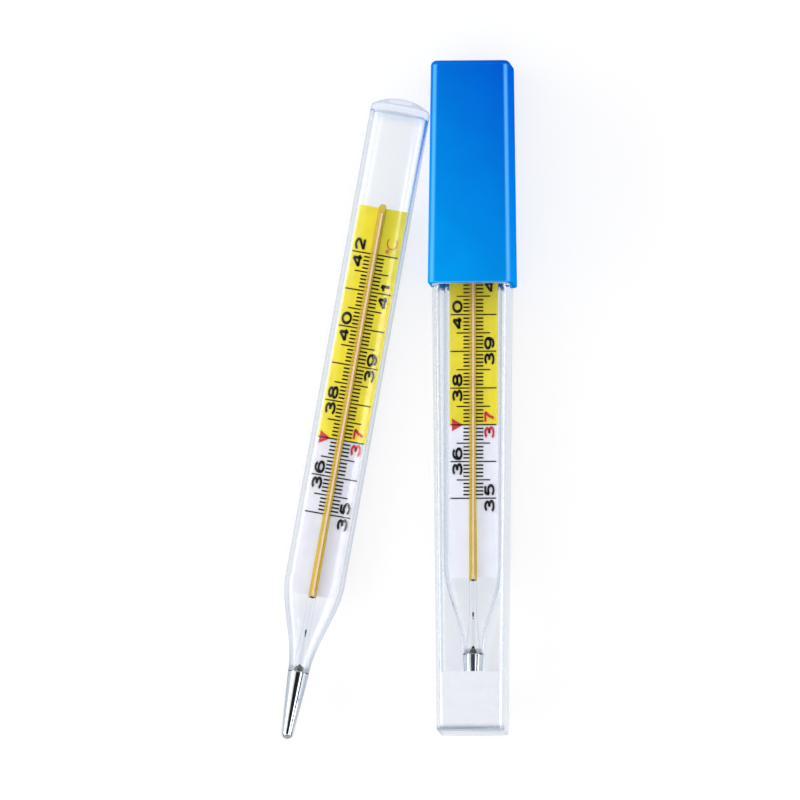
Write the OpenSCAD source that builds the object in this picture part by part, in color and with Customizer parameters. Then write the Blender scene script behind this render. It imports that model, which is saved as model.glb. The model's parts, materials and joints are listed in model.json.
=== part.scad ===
// Clinical thermometer set
// A flat enclosed scale mercury thermometer lies loose beside its twin in a clear case with a push on cap.
// All lies on a table: X runs across, Y runs along the case towards its cap and Z is up.
// The origin is on the flat back of the case tube, half way between the toe and the rim of the cap.
// Each thermometer is drawn standing on its bulb, front towards minus Y, and then laid on its back.

/* [Bulb] */
// Length of the mercury bulb below the glass body
bulb_len = 13.1; // [11:0.1:16]
// Diameter of the bulb and the neck where they are welded
neck_d = 3.8; // [3.6:0.1:4.6]
// Diameter of the bulb at its rounded tip
tip_d = 2.45; // [2.2:0.05:3.4]
// Wall of the bulb
bulb_wall = 0.4; // [0.3:0.05:0.6]
// Height of the mercury cone that rises into the stem
cone_h = 1.3; // [0.8:0.1:2]
// Rim of glass left round the cone in the foot of the stem
foot_rim = 0.2; // [0.1:0.05:0.3]

/* [Glass body] */
// Width of the flattened glass body
glass_w = 11.4; // [10.4:0.1:13]
// Depth of the flattened glass body from front to back
glass_d = 8; // [7:0.1:9.5]
// Wall of the glass body
glass_wall = 0.5; // [0.4:0.05:0.7]
// Squareness of the flattened section, where 2 is an ellipse
squareness = 3; // [2.4:0.1:4]
// Length of the taper from the neck to the full width
taper_len = 17.8; // [14:0.1:20]
// Height of the domed top
dome_h = 2.4; // [1.6:0.1:4]
// Radius of the edge round the dome
dome_edge = 1; // [0.4:0.1:1.2]
// Thickness of the glass at the top of the dome
dome_wall = 2.6; // [1.6:0.1:3.4]
// Height of the low dome that ends the hollow in the glass
hollow_rise = 0.8; // [0.6:0.1:1.4]
// Radius of the edge round that low dome
hollow_edge = 0.5; // [0.2:0.1:0.5]
// Length of the empty clear glass above the scale plate
clear_top = 21.2; // [12:0.1:30]

/* [Stem and capillary] */
// Diameter of the capillary tube
capillary_d = 1.5; // [1.2:0.05:1.8]
// Diameter of the bore that the mercury climbs
bore_d = 0.4; // [0.3:0.02:0.5]
// Diameter of the mercury thread
thread_d = 0.3; // [0.2:0.02:0.36]
// Diameter of the bore where it is pinched
pinch_d = 0.16; // [0.1:0.02:0.24]
// Height of the pinch above the bulb
pinch_at = 8.3; // [5:0.1:10]
// Length of the pinch
pinch_len = 1.4; // [0.8:0.1:2]
// Length of the capillary tube that stands below the scale plate
capillary_foot = 0.6; // [0.4:0.1:2]
// Length of the capillary tube that stands above the scale plate
capillary_head = 0.7; // [0.3:0.1:2]

/* [Scale] */
// Thickness of the opal scale plate
plate_t = 0.6; // [0.4:0.05:0.9]
// Least clearance between the scale plate and the glass body
plate_fit = 0.06; // [0.05:0.01:0.2]
// Distance that the plate lies off the middle, against the right wall
plate_shift = 0.1; // [0:0.05:0.5]
// Length of the plate that reaches down into the taper
plate_sink = 2.8; // [1:0.1:4]
// Length of bare plate below the lowest mark
plate_foot = 15.7; // [10:0.1:20]
// Length of plate above the highest mark
plate_head = 9; // [5:0.1:12]
// Degrees on the white part of the scale, from 35 degrees Celsius up
cool_degrees = 2; // [1:1:3]
// Degrees on the yellow part of the scale, above the fever mark
fever_degrees = 5; // [4:1:6]
// Length of the scale for one degree
degree_len = 7.23; // [6.6:0.01:7.6]
// Width of a half or whole degree line
line_w = 0.24; // [0.12:0.01:0.3]
// Width of a tenth of a degree line
tenth_w = 0.3; // [0.12:0.01:0.36]
// Thickness of a printed layer
print_t = 0.06; // [0.04:0.01:0.1]
// Distance of a whole degree line from the nearer edge of the plate
degree_margin = 0.25; // [0.1:0.05:0.5]
// Distance of a half degree line from the nearer edge of the plate
half_margin = 1.5; // [0.8:0.05:1.8]
// Reach of a tenth of a degree line to each side of the capillary tube
tenth_reach = 1.2; // [0.8:0.05:1.5]
// Distance of the red pointer from the end of the fever mark's line
pointer_margin = 0.3; // [0:0.05:0.4]
// Length of the red pointer at the fever mark
pointer_len = 2.2; // [1.2:0.1:2.2]
// Width of the base of the red pointer
pointer_w = 2.5; // [1.4:0.1:3]

/* [Case] */
// Size of the cased thermometer against the loose one
cased_size = 0.975; // [0.94:0.001:1]
// Length of the clear tube from its toe to the rim of the cap
tube_len = 85.7; // [76:0.1:95]
// Wall of the clear tube
tube_wall = 0.75; // [0.6:0.05:1]
// Narrowing of the tube from the rim to the toe
toe_draft = 1.7; // [0.8:0.1:2]
// Room on each side of the thermometer at the mouth of the tube
side_room = 1.1; // [0.9:0.05:1.6]
// Room between the thermometer and the front of the mouth
front_room = 1.65; // [1:0.05:2.4]
// Clearance under the back of the thermometer where it rests in the mouth
rest_gap = 0.2; // [0.1:0.05:0.4]
// Distance that the cased thermometer lies to the right of the middle
side_lie = 0.1; // [0:0.05:0.4]
// Thickness of the closed end of the tube
toe_wall = 0.8; // [0.6:0.05:1.4]
// Radius of the long corners of the tube
tube_corner = 1.4; // [1:0.1:2]
// Radius of the edge round the toe
toe_edge = 0.5; // [0.2:0.05:0.9]

/* [Cap] */
// Length of the stepped mouth of the tube inside the cap
spigot_len = 14; // [8:0.5:20]
// Step from the tube down to its mouth
spigot_step = 0.3; // [0.2:0.05:0.5]
// Clearance between the mouth of the tube and the cap
cap_fit = 0.15; // [0.1:0.01:0.25]
// Wall of the cap
cap_wall = 0.95; // [0.7:0.05:1.3]
// Thickness of the closed end of the cap
cap_end = 0.8; // [0.6:0.1:2]
// Narrowing of the cap from its rim to its closed end
cap_draft = 1.2; // [0.4:0.1:1.4]
// Room between the dome of the thermometer and the closed end of the cap
top_gap = 3.8; // [2:0.1:10]
// Radius of the long corners of the cap
cap_corner = 1.7; // [1.2:0.1:2.4]
// Radius of the edge round the closed end of the cap
cap_edge = 1; // [0.4:0.1:1.1]

/* [Pad] */
// Length of the soft pad at the toe
pad_len = 10.6; // [8:0.1:12]
// Thickness of the pad under the bulb tip
pad_floor = 1.1; // [0.5:0.05:2]
// Clearance between the pad and the tube
pad_fit = 0.1; // [0.05:0.01:0.2]
// Clearance round the bulb in its hole in the pad
bulb_fit = 0.3; // [0.2:0.05:0.5]

/* [Layout] */
// Tilt of the loose thermometer against the case in degrees
loose_tilt = 10.3; // [6:0.1:14]
// Clearance between the loose thermometer and the rim of the cap as it slides past
loose_gap = 0.14; // [0.12:0.01:3]
// Distance of the loose thermometer's dome below the closed end of the cap
loose_drop = 6.6; // [2:0.05:20]

/* [Hidden] */
$fn = 64;
section_sides = 48;
taper_steps = 14;
dome_steps = 5;
corner_steps = 6;
edge_step = 30;
cut_over = 1;
weld_gap = 0.03;
sleeve_gap = 0.05;
least_corner = 0.25;

// Heights along a thermometer, from its bulb tip
taper_end = bulb_len + taper_len;
pinch_z = bulb_len + pinch_at;
plate_z = taper_end - plate_sink;
capillary_z = plate_z - capillary_foot;
low_z = plate_z + plate_foot;
fever_z = degree_z(cool_degrees);
high_z = degree_z(cool_degrees + fever_degrees);
plate_end = high_z + plate_head;
capillary_end = plate_end + capillary_head;
glass_len = plate_end + clear_top;
bore_end = capillary_end - capillary_d;

// Radius of the stem and of the recess for the mercury cone, both at the foot of the stem
stem_foot_r = neck_d / 2 - glass_wall - sleeve_gap;
recess_r = stem_foot_r - foot_rim;

// Depths inside a thermometer, where the front is negative
backing_y = bore_d / 2 + sleeve_gap;
line_y = capillary_d / 2 + sleeve_gap;
band_y = line_y + print_t;
plate_y = band_y + print_t;
plate_back = plate_y + plate_t;
plate_w = 2 * plate_reach(taper_end);
plate_toe_w = 2 * plate_reach(plate_z);

// Reach of the lines to each side of the bore
line_room = plate_w / 2 - plate_shift;
degree_reach = line_room - degree_margin;
half_reach = line_room - half_margin;
tenth_end = capillary_d / 2 + tenth_reach;

// Sections of the case, all flush at the back
cased_w = glass_w * cased_size;
cased_d = glass_d * cased_size;
tube_w = cased_w + 2 * (side_room + tube_wall);
toe_w = tube_w - toe_draft;
spigot_w = tube_w - 2 * spigot_step;
spigot_d = cased_d + rest_gap + front_room + 2 * tube_wall;
spigot_back = cap_wall + cap_fit;
spigot_front = spigot_back + spigot_d;
tube_d = spigot_front + spigot_step;
cap_w = spigot_w + 2 * (cap_fit + cap_wall);
cap_d = spigot_front + cap_fit + cap_wall;

// Places along the case, from its toe
pad_y = toe_wall + pad_fit;
hole_y = pad_y + pad_floor;
tip_y = hole_y + bulb_fit;
case_len = tip_y + glass_len * cased_size + top_gap + cap_end;
cap_len = case_len - tube_len;
spigot_end = tube_len + spigot_len;
ramp_len = spigot_back + spigot_step;
toe_y = -tube_len / 2;

// Place of the cased thermometer's axis
cased_axis_z = spigot_back + tube_wall + rest_gap + cased_d / 2;

// Place of the loose thermometer's dome, clear of the side of the cap
loose_edge_x = -cap_w / 2 - loose_gap;
loose_top_x = loose_edge_x - glass_w / 2 * cos(loose_tilt) + dome_h * sin(loose_tilt);
loose_top_y = toe_y + case_len - loose_drop;

// Height of a mark, in degrees above the lowest one
function degree_z(degrees) = low_z + degrees * degree_len;

// A soft step from 0 to 1
function soft_step(t) = t <= 0 ? 0 : t >= 1 ? 1 : t * t * (3 - 2 * t);

// Share of the full section that the glass body has at a height
function swell(z) = soft_step((z - bulb_len) / taper_len);

// Half width, half depth and squareness of the glass body at a height, inside a wall
function half_w(z, inset) = neck_d / 2 + (glass_w - neck_d) / 2 * swell(z) - inset;
function half_d(z, inset) = neck_d / 2 + (glass_d - neck_d) / 2 * swell(z) - inset;
function power(z) = 2 + (squareness - 2) * swell(z);

// A number raised to a power with its sign kept
function signed_pow(v, p) = sign(v) * pow(abs(v), p);

// Reach of the section to the side at a depth
function section_reach(z, inset, y) =
    half_w(z, inset) * pow(1 - pow(y / half_d(z, inset), power(z)), 1 / power(z));

// Reach of the scale plate to each side of its middle at a height, clear of the glass body
function plate_reach(z) = section_reach(z, glass_wall, plate_back) - plate_fit - plate_shift;

// One ring of the glass body, drawn in by a share for the dome
function glass_ring(z, inset, share = 1, lift = 0) = [
    for (i = [0 : section_sides - 1])
        let (a = 360 * i / section_sides, p = 2 / power(z))
        [share * half_w(z, inset) * signed_pow(cos(a), p),
         share * half_d(z, inset) * signed_pow(sin(a), p),
         z + lift]
];

// Reach and lift of the points on a dome, whose round edge runs into one wide arc
function dome_points(reach, rise, edge) =
    let (radius = (reach * reach + rise * rise - 2 * reach * edge) / (2 * (rise - edge)),
         lean = atan2(reach - edge, radius - rise))
    [for (i = [0 : dome_steps])
        let (a = (90 - lean) * i / dome_steps)
        [reach - edge + edge * cos(a), edge * sin(a)],
     for (i = [dome_steps - 1 : -1 : 1])
        let (a = lean * i / dome_steps)
        [radius * sin(a), rise - radius * (1 - cos(a))]];

// Rings of the glass body from the neck to the dome, which ends at a height
function glass_rings(inset, end, rise, edge) = let (reach = glass_w / 2 - inset) [
    for (i = [0 : taper_steps]) glass_ring(bulb_len + taper_len * i / taper_steps, inset),
    for (p = dome_points(reach, rise, edge)) glass_ring(end - rise, inset, p[0] / reach, p[1])
];

// A list in reverse
function turned(list) = [for (i = [len(list) - 1 : -1 : 0]) list[i]];

// A rounded rectangle across the case, drawn in all round by an inset
function case_ring(y, w, back, front, corner, inset = 0) =
    let (r = max(corner - inset, least_corner), x = w / 2 - inset - r)
    [for (q = [0 : 3], s = [0 : corner_steps])
        let (a = 90 * (q + s / corner_steps))
        [(q < 2 ? x : -x) + r * sin(a),
         y,
         (q == 0 || q == 3 ? front - inset - r : back + inset + r) + r * cos(a)]];

// Width of the tube and of the cap at a place along the case, and how far the cap's front falls there
function tube_w_at(y) = toe_w + toe_draft * y / tube_len;
function cap_fall(y) = cap_draft * (y - tube_len) / cap_len;

// Outside of the cap at a place along the case, drawn in by an inset
function cap_ring(y, inset) =
    case_ring(y, cap_w - cap_fall(y), 0, cap_d - cap_fall(y) / 2, cap_corner, inset);

// The stepped mouth of the tube, which follows the draft of the cap
function spigot_ring(y, inset) =
    case_ring(y, spigot_w - cap_fall(y), spigot_back, spigot_front - cap_fall(y) / 2, tube_corner, inset);

// The body of the tube
function tube_ring(y, inset) = case_ring(y, tube_w_at(y), 0, tube_d, tube_corner, inset);

// A closed surface through a row of rings with the same number of points
module skin(rings) {
    n = len(rings[0]);
    last = len(rings) - 1;
    polyhedron(
        points = [for (ring = rings) each ring],
        faces = [
            [for (i = [0 : n - 1]) i],
            for (k = [0 : last - 1], i = [0 : n - 1])
                let (j = (i + 1) % n)
                [k * n + i, (k + 1) * n + i, (k + 1) * n + j, k * n + j],
            [for (i = [n - 1 : -1 : 0]) last * n + i]
        ],
        convexity = 6
    );
}

// Places a standing thermometer loose on the table
module loose() {
    translate([loose_top_x, loose_top_y, glass_d / 2])
        rotate([0, 0, -loose_tilt])
            translate([0, -glass_len, 0])
                rotate([-90, 0, 0])
                    children();
}

// Places a standing thermometer in the case
module cased() {
    translate([side_lie, toe_y + tip_y, cased_axis_z])
        rotate([-90, 0, 0])
            scale(cased_size)
                children();
}

// Places a piece drawn from the toe along the case
module along_case() {
    translate([0, toe_y, 0])
        children();
}

// Radius of the bulb at a height on its straight taper
function bulb_r(z) = (tip_d + (neck_d - tip_d) * (z - tip_d / 2) / (bulb_len - tip_d / 2)) / 2;

// Profile of the bulb inside a wall, with a round tip that runs into a straight taper
module bulb_profile(inset, top) {
    tip_r = tip_d / 2 - inset;
    polygon([
        [0, inset],
        for (a = [-75 : 15 : 0]) [tip_r * cos(a), tip_d / 2 + tip_r * sin(a)],
        [bulb_r(top) - inset, top],
        [0, top]
    ]);
}

// Hollow glass body, open only where the bulb is welded on
module envelope() {
    color([0.86, 0.91, 0.95, 0.35])
        skin([
            each turned(glass_rings(glass_wall, glass_len - dome_wall, hollow_rise, hollow_edge)),
            each glass_rings(0, glass_len, dome_h, dome_edge)
        ]);
}

// Thin glass bulb that dips into the patient's mouth
module bulb_glass() {
    color([0.82, 0.87, 0.92, 0.4])
        rotate_extrude()
            difference() {
                bulb_profile(0, bulb_len);
                bulb_profile(bulb_wall, bulb_len + cut_over);
            }
}

// Mercury that fills the bulb, with the cone that feeds the bore
module mercury_reservoir() {
    top = bulb_len - weld_gap;
    color([0.72, 0.74, 0.77])
        rotate_extrude()
            union() {
                bulb_profile(bulb_wall + weld_gap, top);
                polygon([
                    [0, top],
                    [recess_r - sleeve_gap, top],
                    [thread_d / 2, top + cone_h],
                    [0, top + cone_h]
                ]);
            }
}

// Thread of mercury that stands in the stem, just under the pinch
module mercury_thread() {
    foot = bulb_len + cone_h + weld_gap;
    color([0.70, 0.72, 0.75])
        translate([0, 0, foot])
            cylinder(d = thread_d, h = pinch_z - foot - weld_gap);
}

// Clear stem that joins the bulb to the capillary tube, with the pinch that holds the reading
module neck_stem() {
    bore_r = bore_d / 2;
    color([0.84, 0.89, 0.94, 0.5])
        rotate_extrude()
            polygon([
                [recess_r, bulb_len],
                [stem_foot_r, bulb_len],
                [capillary_d / 2, pinch_z],
                [capillary_d / 2, capillary_z],
                [bore_r, capillary_z],
                [bore_r, pinch_z + pinch_len],
                [pinch_d / 2, pinch_z + pinch_len / 2],
                [bore_r, pinch_z],
                [bore_r, bulb_len + cone_h]
            ]);
}

// Whole capillary rod with its round top, before the bore and the backing are parted
module capillary_rod() {
    r = capillary_d / 2;
    rotate_extrude()
        polygon([
            [0, capillary_z],
            [r, capillary_z],
            for (a = [0 : 15 : 75]) [r * cos(a), capillary_end - r + r * sin(a)],
            [0, capillary_end]
        ]);
}

// Half space behind the enamel's front
module behind_backing() {
    translate([-capillary_d, backing_y, capillary_z - cut_over])
        cube([2 * capillary_d, capillary_d, capillary_end - capillary_z + 2 * cut_over]);
}

// Clear front of the capillary tube, with the bore that the mercury climbs
module capillary_tube() {
    color([0.85, 0.86, 0.80, 0.5])
        difference() {
            capillary_rod();
            behind_backing();
            translate([0, 0, capillary_z - cut_over])
                cylinder(d = bore_d, h = bore_end - capillary_z + cut_over);
        }
}

// Yellow enamel fused to the back of the capillary tube
module capillary_backing() {
    color([0.80, 0.70, 0.18])
        intersection() {
            capillary_rod();
            behind_backing();
        }
}

// Flat layer whose front lies at a depth, with its outline drawn across and up
module layer(front, thickness) {
    translate([0, front + thickness, 0])
        rotate([90, 0, 0])
            linear_extrude(thickness)
                children();
}

// Opal glass strip that carries the scale, with its foot cut narrower to sit in the taper
module scale_plate() {
    color([0.90, 0.90, 0.95])
        layer(plate_y, plate_t)
            translate([plate_shift, 0])
                polygon([
                    [-plate_toe_w / 2, plate_z],
                    [plate_toe_w / 2, plate_z],
                    [plate_w / 2, taper_end],
                    [plate_w / 2, plate_end],
                    [-plate_w / 2, plate_end],
                    [-plate_w / 2, taper_end]
                ]);
}

// Yellow print from the fever mark to the top of the plate
module fever_band() {
    color([0.92, 0.83, 0.22])
        layer(band_y, print_t)
            translate([plate_shift - plate_w / 2, fever_z])
                square([plate_w, plate_end - fever_z]);
}

// One line across the plate at a height, the same length to each side of the bore
module scale_line(z, reach, width = line_w) {
    translate([-reach, z - width / 2])
        square([2 * reach, width]);
}

// Lines at every tenth of a degree, longer at half and whole degrees
module graduations() {
    color([0.08, 0.08, 0.08])
        for (i = [0 : 10 * (cool_degrees + fever_degrees)])
            let (z = degree_z(i / 10))
            layer(i >= 10 * cool_degrees ? line_y : band_y, print_t)
                if (i % 10 == 0)
                    scale_line(z, degree_reach);
                else if (i % 5 == 0)
                    scale_line(z, half_reach);
                else
                    scale_line(z, tenth_end, tenth_w);
}

// Red pointer at the left edge of the fever mark, parted by the black line
module fever_pointer() {
    left = pointer_margin - degree_reach;
    color([0.85, 0.16, 0.10])
        layer(line_y, print_t)
            difference() {
                polygon([
                    [left, fever_z - pointer_w / 2],
                    [left + pointer_len, fever_z],
                    [left, fever_z + pointer_w / 2]
                ]);
                scale_line(fever_z, degree_reach);
            }
}

// Clear tube with a stepped mouth, closed at the toe and flat at the back
module case_tube() {
    color([0.88, 0.92, 0.97, 0.3])
        along_case()
            skin([
                for (a = [90 : -edge_step : 0])
                    tube_ring(toe_edge * (1 - sin(a)), toe_edge * (1 - cos(a))),
                tube_ring(tube_len, 0),
                spigot_ring(tube_len, 0),
                spigot_ring(spigot_end, 0),
                spigot_ring(spigot_end, tube_wall),
                spigot_ring(tube_len, tube_wall),
                tube_ring(tube_len - ramp_len, tube_wall),
                tube_ring(toe_wall, tube_wall)
            ]);
}

// Blue cap that pushes on over the mouth of the tube
module case_cap() {
    inner_end = case_len - cap_end;
    color([0.02, 0.50, 0.90])
        along_case()
            skin([
                cap_ring(inner_end, cap_wall),
                cap_ring(tube_len, cap_wall),
                cap_ring(tube_len, 0),
                for (a = [0 : edge_step : 90])
                    cap_ring(case_len - cap_edge * (1 - sin(a)), cap_edge * (1 - cos(a)))
            ]);
}

// Soft white pad in the toe, with a hole for the bulb
module bulb_pad() {
    inset = tube_wall + pad_fit;
    hole_d = neck_d * cased_size + 2 * bulb_fit;
    color([0.95, 0.96, 0.97])
        along_case()
            difference() {
                skin([
                    tube_ring(pad_y, inset),
                    tube_ring(pad_y + pad_len, inset)
                ]);
                translate([side_lie, hole_y, cased_axis_z])
                    rotate([-90, 0, 0])
                        cylinder(d = hole_d, h = pad_len + cut_over);
            }
}

case_tube();
case_cap();
bulb_pad();

loose() envelope();  // loose_envelope
loose() bulb_glass();  // loose_bulb_glass
loose() mercury_reservoir();  // loose_mercury_reservoir
loose() mercury_thread();  // loose_mercury_thread
loose() neck_stem();  // loose_neck_stem
loose() capillary_tube();  // loose_capillary_tube
loose() capillary_backing();  // loose_capillary_backing
loose() scale_plate();  // loose_scale_plate
loose() fever_band();  // loose_fever_band
loose() graduations();  // loose_graduations
loose() fever_pointer();  // loose_fever_pointer

cased() envelope();  // cased_envelope
cased() bulb_glass();  // cased_bulb_glass
cased() mercury_reservoir();  // cased_mercury_reservoir
cased() mercury_thread();  // cased_mercury_thread
cased() neck_stem();  // cased_neck_stem
cased() capillary_tube();  // cased_capillary_tube
cased() capillary_backing();  // cased_capillary_backing
cased() scale_plate();  // cased_scale_plate
cased() fever_band();  // cased_fever_band
cased() graduations();  // cased_graduations
cased() fever_pointer();  // cased_fever_pointer
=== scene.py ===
"""Looks of a clinical thermometer set: two flat mercury thermometers, one loose and one in its case.

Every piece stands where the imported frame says, in metres. A thermometer is drawn standing on its bulb tip,
with X to the right, its front towards minus Y and Z up its stem, and is then laid in its place.
"""

import json
import logging
import math
from dataclasses import dataclass, replace
from enum import Enum
from typing import Callable, Sequence

import bmesh
import bpy
from mathutils import Matrix, Vector, noise


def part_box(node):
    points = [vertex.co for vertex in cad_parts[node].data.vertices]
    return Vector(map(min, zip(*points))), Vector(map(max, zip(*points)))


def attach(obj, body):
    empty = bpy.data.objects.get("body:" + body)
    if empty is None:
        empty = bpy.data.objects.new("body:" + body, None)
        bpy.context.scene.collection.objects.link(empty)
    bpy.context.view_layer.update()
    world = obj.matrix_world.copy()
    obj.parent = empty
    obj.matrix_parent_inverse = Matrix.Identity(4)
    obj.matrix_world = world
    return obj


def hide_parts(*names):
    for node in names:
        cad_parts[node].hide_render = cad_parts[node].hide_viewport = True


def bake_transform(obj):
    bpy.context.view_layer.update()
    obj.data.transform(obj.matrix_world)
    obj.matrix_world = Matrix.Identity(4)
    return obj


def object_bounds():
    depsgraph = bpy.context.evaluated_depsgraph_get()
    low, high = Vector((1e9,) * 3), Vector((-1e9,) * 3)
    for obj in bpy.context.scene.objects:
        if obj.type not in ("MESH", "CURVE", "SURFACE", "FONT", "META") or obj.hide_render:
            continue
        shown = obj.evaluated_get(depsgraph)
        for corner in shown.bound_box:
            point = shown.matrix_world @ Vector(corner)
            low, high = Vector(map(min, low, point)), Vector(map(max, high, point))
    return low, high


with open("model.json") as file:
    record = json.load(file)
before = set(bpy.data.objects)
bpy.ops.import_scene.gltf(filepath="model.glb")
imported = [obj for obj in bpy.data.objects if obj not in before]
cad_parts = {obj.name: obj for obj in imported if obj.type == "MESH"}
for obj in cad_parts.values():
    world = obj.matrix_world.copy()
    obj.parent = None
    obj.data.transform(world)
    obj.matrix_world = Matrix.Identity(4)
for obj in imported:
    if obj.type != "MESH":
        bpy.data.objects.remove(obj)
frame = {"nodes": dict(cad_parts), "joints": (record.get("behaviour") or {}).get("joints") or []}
CAD_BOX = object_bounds()

LOG = logging.getLogger("thermometer_set")
MM = 0.001
MERGE = 1e-7
QUARTER = math.pi / 2
CREASE = 35.0
SOFT_CREASE = 60.0

Colour = tuple[float, float, float, float]
Span = tuple[float, float]
Ring = list[Vector]
Profile = list[Span]
Mesh = bpy.types.Mesh
Node = bpy.types.Node
Socket = bpy.types.NodeSocket
Sockets = dict[str, Socket]

WHITE: Colour = (1.0, 1.0, 1.0, 1.0)


class Body(Enum):
    """Bodies of the frame that pieces ride on."""

    CASE = "case"
    CAP = "cap"
    CASED = "cased_thermometer"
    CASED_MERCURY = "cased_mercury"
    LOOSE = "loose_thermometer"
    LOOSE_MERCURY = "loose_mercury"


class Slot(Enum):
    """Material slots of the record."""

    BODY_GLASS = "body_glass"
    BULB_GLASS = "bulb_glass"
    STEM_GLASS = "stem_glass"
    CAPILLARY_GLASS = "capillary_glass"
    MERCURY = "mercury"
    YELLOW_ENAMEL = "yellow_enamel"
    OPAL_PLATE = "opal_plate"
    YELLOW_PRINT = "yellow_print"
    BLACK_PRINT = "black_print"
    RED_PRINT = "red_print"
    CLEAR_PLASTIC = "clear_plastic"
    BLUE_PLASTIC = "blue_plastic"
    WHITE_FOAM = "white_foam"


class Effect(Enum):
    """Surface effects that several finishes share."""

    CLOUD_TONE = "cloud_tone"
    FINE_GRAIN = "fine_grain"
    HANDLED_SCUFFS = "handled_scuffs"
    DRAWN_LINES = "drawn_lines"


class Column(Enum):
    """Side of the capillary that a numeral stands on."""

    LEFT = "left"
    RIGHT = "right"


class Ink(Enum):
    """Colour of a numeral."""

    BLACK = "black"
    RED = "red"


def srgb(red: int, green: int, blue: int) -> Colour:
    """Turns a colour as it looks on a screen into linear light.

    Args:
        red: Red from 0 to 255.
        green: Green from 0 to 255.
        blue: Blue from 0 to 255.

    Returns:
        The linear colour, with an alpha of 1.
    """
    shares = (v / 255 for v in (red, green, blue))
    light = [v / 12.92 if v <= 0.04045 else ((v + 0.055) / 1.055) ** 2.4 for v in shares]
    return (*light, 1.0)


def soft_step(share: float) -> float:
    """Eases a share, held between 0 and 1, from 0 to 1."""
    held = min(max(share, 0.0), 1.0)
    return held * held * (3 - 2 * held)


def spread(first: float, last: float, steps: int) -> list[float]:
    """Gives evenly spaced numbers with both ends, one more than there are steps."""
    return [first + (last - first) * i / steps for i in range(steps + 1)]


class Desk:
    """Places and wires the nodes of one shader tree."""

    def __init__(self, tree: bpy.types.NodeTree) -> None:
        """Takes the tree that the nodes go into."""
        self.tree = tree

    def add(self, kind: str, values: dict | None = None, **settings: object) -> Node:
        """Adds a node.

        Args:
            kind: Blender's name of the node.
            values: A number or colour for each input, or the output or node that is wired to it.
            settings: Properties of the node.

        Returns:
            The node.
        """
        node = self.tree.nodes.new(kind)
        for name, value in settings.items():
            setattr(node, name, value)
        for name, value in (values or {}).items():
            source = value.outputs[0] if isinstance(value, Node) else value
            if isinstance(source, Socket):
                self.tree.links.new(source, node.inputs[name])
            else:
                node.inputs[name].default_value = source
        return node

    def math(self, operation: str, first: object, second: object = 0.0) -> Socket:
        """Adds a sum of two numbers or outputs and gives its result."""
        return self.add("ShaderNodeMath", {0: first, 1: second}, operation=operation).outputs[0]

    def times(self, first: object, *others: object) -> Socket:
        """Multiplies numbers or outputs.

        Args:
            first: The first factor.
            others: The other factors, in order.

        Returns:
            The output with the product.
        """
        product = first
        for other in others:
            product = self.math("MULTIPLY", product, other)
        return product

    def turned(self, depth: Socket, turns: int) -> Socket:
        """Gives 1 for rays whose depth has reached a number of turns."""
        return self.math("GREATER_THAN", depth, turns - 0.5)

    def ease(self, value: object, start: object, end: object, low: object = 0.0,
             high: object = 1.0) -> Socket:
        """Maps a value softly from one span to another.

        Args:
            value: The value.
            start: Where the span begins.
            end: Where the span ends.
            low: The result at the start.
            high: The result at the end.

        Returns:
            The output with the result.
        """
        spans = {"Value": value, "From Min": start, "From Max": end, "To Min": low, "To Max": high}
        return self.add("ShaderNodeMapRange", spans, interpolation_type="SMOOTHSTEP").outputs[0]

    def mix(self, factor: object, first: object, second: object) -> Socket:
        """Mixes two colours, the second by the factor, and gives the result."""
        values = {"Factor": factor, 6: first, 7: second}
        return self.add("ShaderNodeMix", values, data_type="RGBA").outputs[2]

    def vector(self, operation: str, first: object, second: object) -> Socket:
        """Adds a sum of two vectors.

        Args:
            operation: The kind of sum.
            first: A vector or an output.
            second: A vector or an output.

        Returns:
            The output with the vector, or with the number where the sum gives one.
        """
        node = self.add("ShaderNodeVectorMath", {0: first, 1: second}, operation=operation)
        return node.outputs["Value" if operation in ("DOT_PRODUCT", "DISTANCE") else "Vector"]

    def noise(self, where: Socket, scale: object, detail: float = 2.0) -> Socket:
        """Adds noise at a place, with a scale and a detail, and gives its value."""
        values = {"Vector": where, "Scale": scale, "Detail": detail}
        return self.add("ShaderNodeTexNoise", values).outputs[0]

    def bump(self, height: Socket, strength: float, distance: float) -> Socket:
        """Adds a relief of a strength and a depth and gives its normal."""
        values = {"Height": height, "Strength": strength, "Distance": distance}
        return self.add("ShaderNodeBump", values).outputs[0]

    def parts(self, vector: Socket) -> Sockets:
        """Gives the three numbers of a vector by the name of their axis."""
        return {s.name: s for s in self.add("ShaderNodeSeparateXYZ", {0: vector}).outputs}

    def rays(self) -> Sockets:
        """Gives what is known of the path of a ray, by name."""
        return {s.name: s for s in self.add("ShaderNodeLightPath").outputs}

    def slope(self, where: Socket, start: Span, end: Span) -> Socket:
        """Gives how far a place lies on the way from one point of the plan to another.

        Args:
            where: The place.
            start: X and Y of the point where the share is 0.
            end: X and Y of the point where the share is 1.

        Returns:
            The output with the share.
        """
        span = Vector(end) - Vector(start)
        slope = span / span.length_squared
        return self.math("ADD", self.vector("DOT_PRODUCT", where, (*slope, 0.0)), -slope.dot(Vector(start)))


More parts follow.
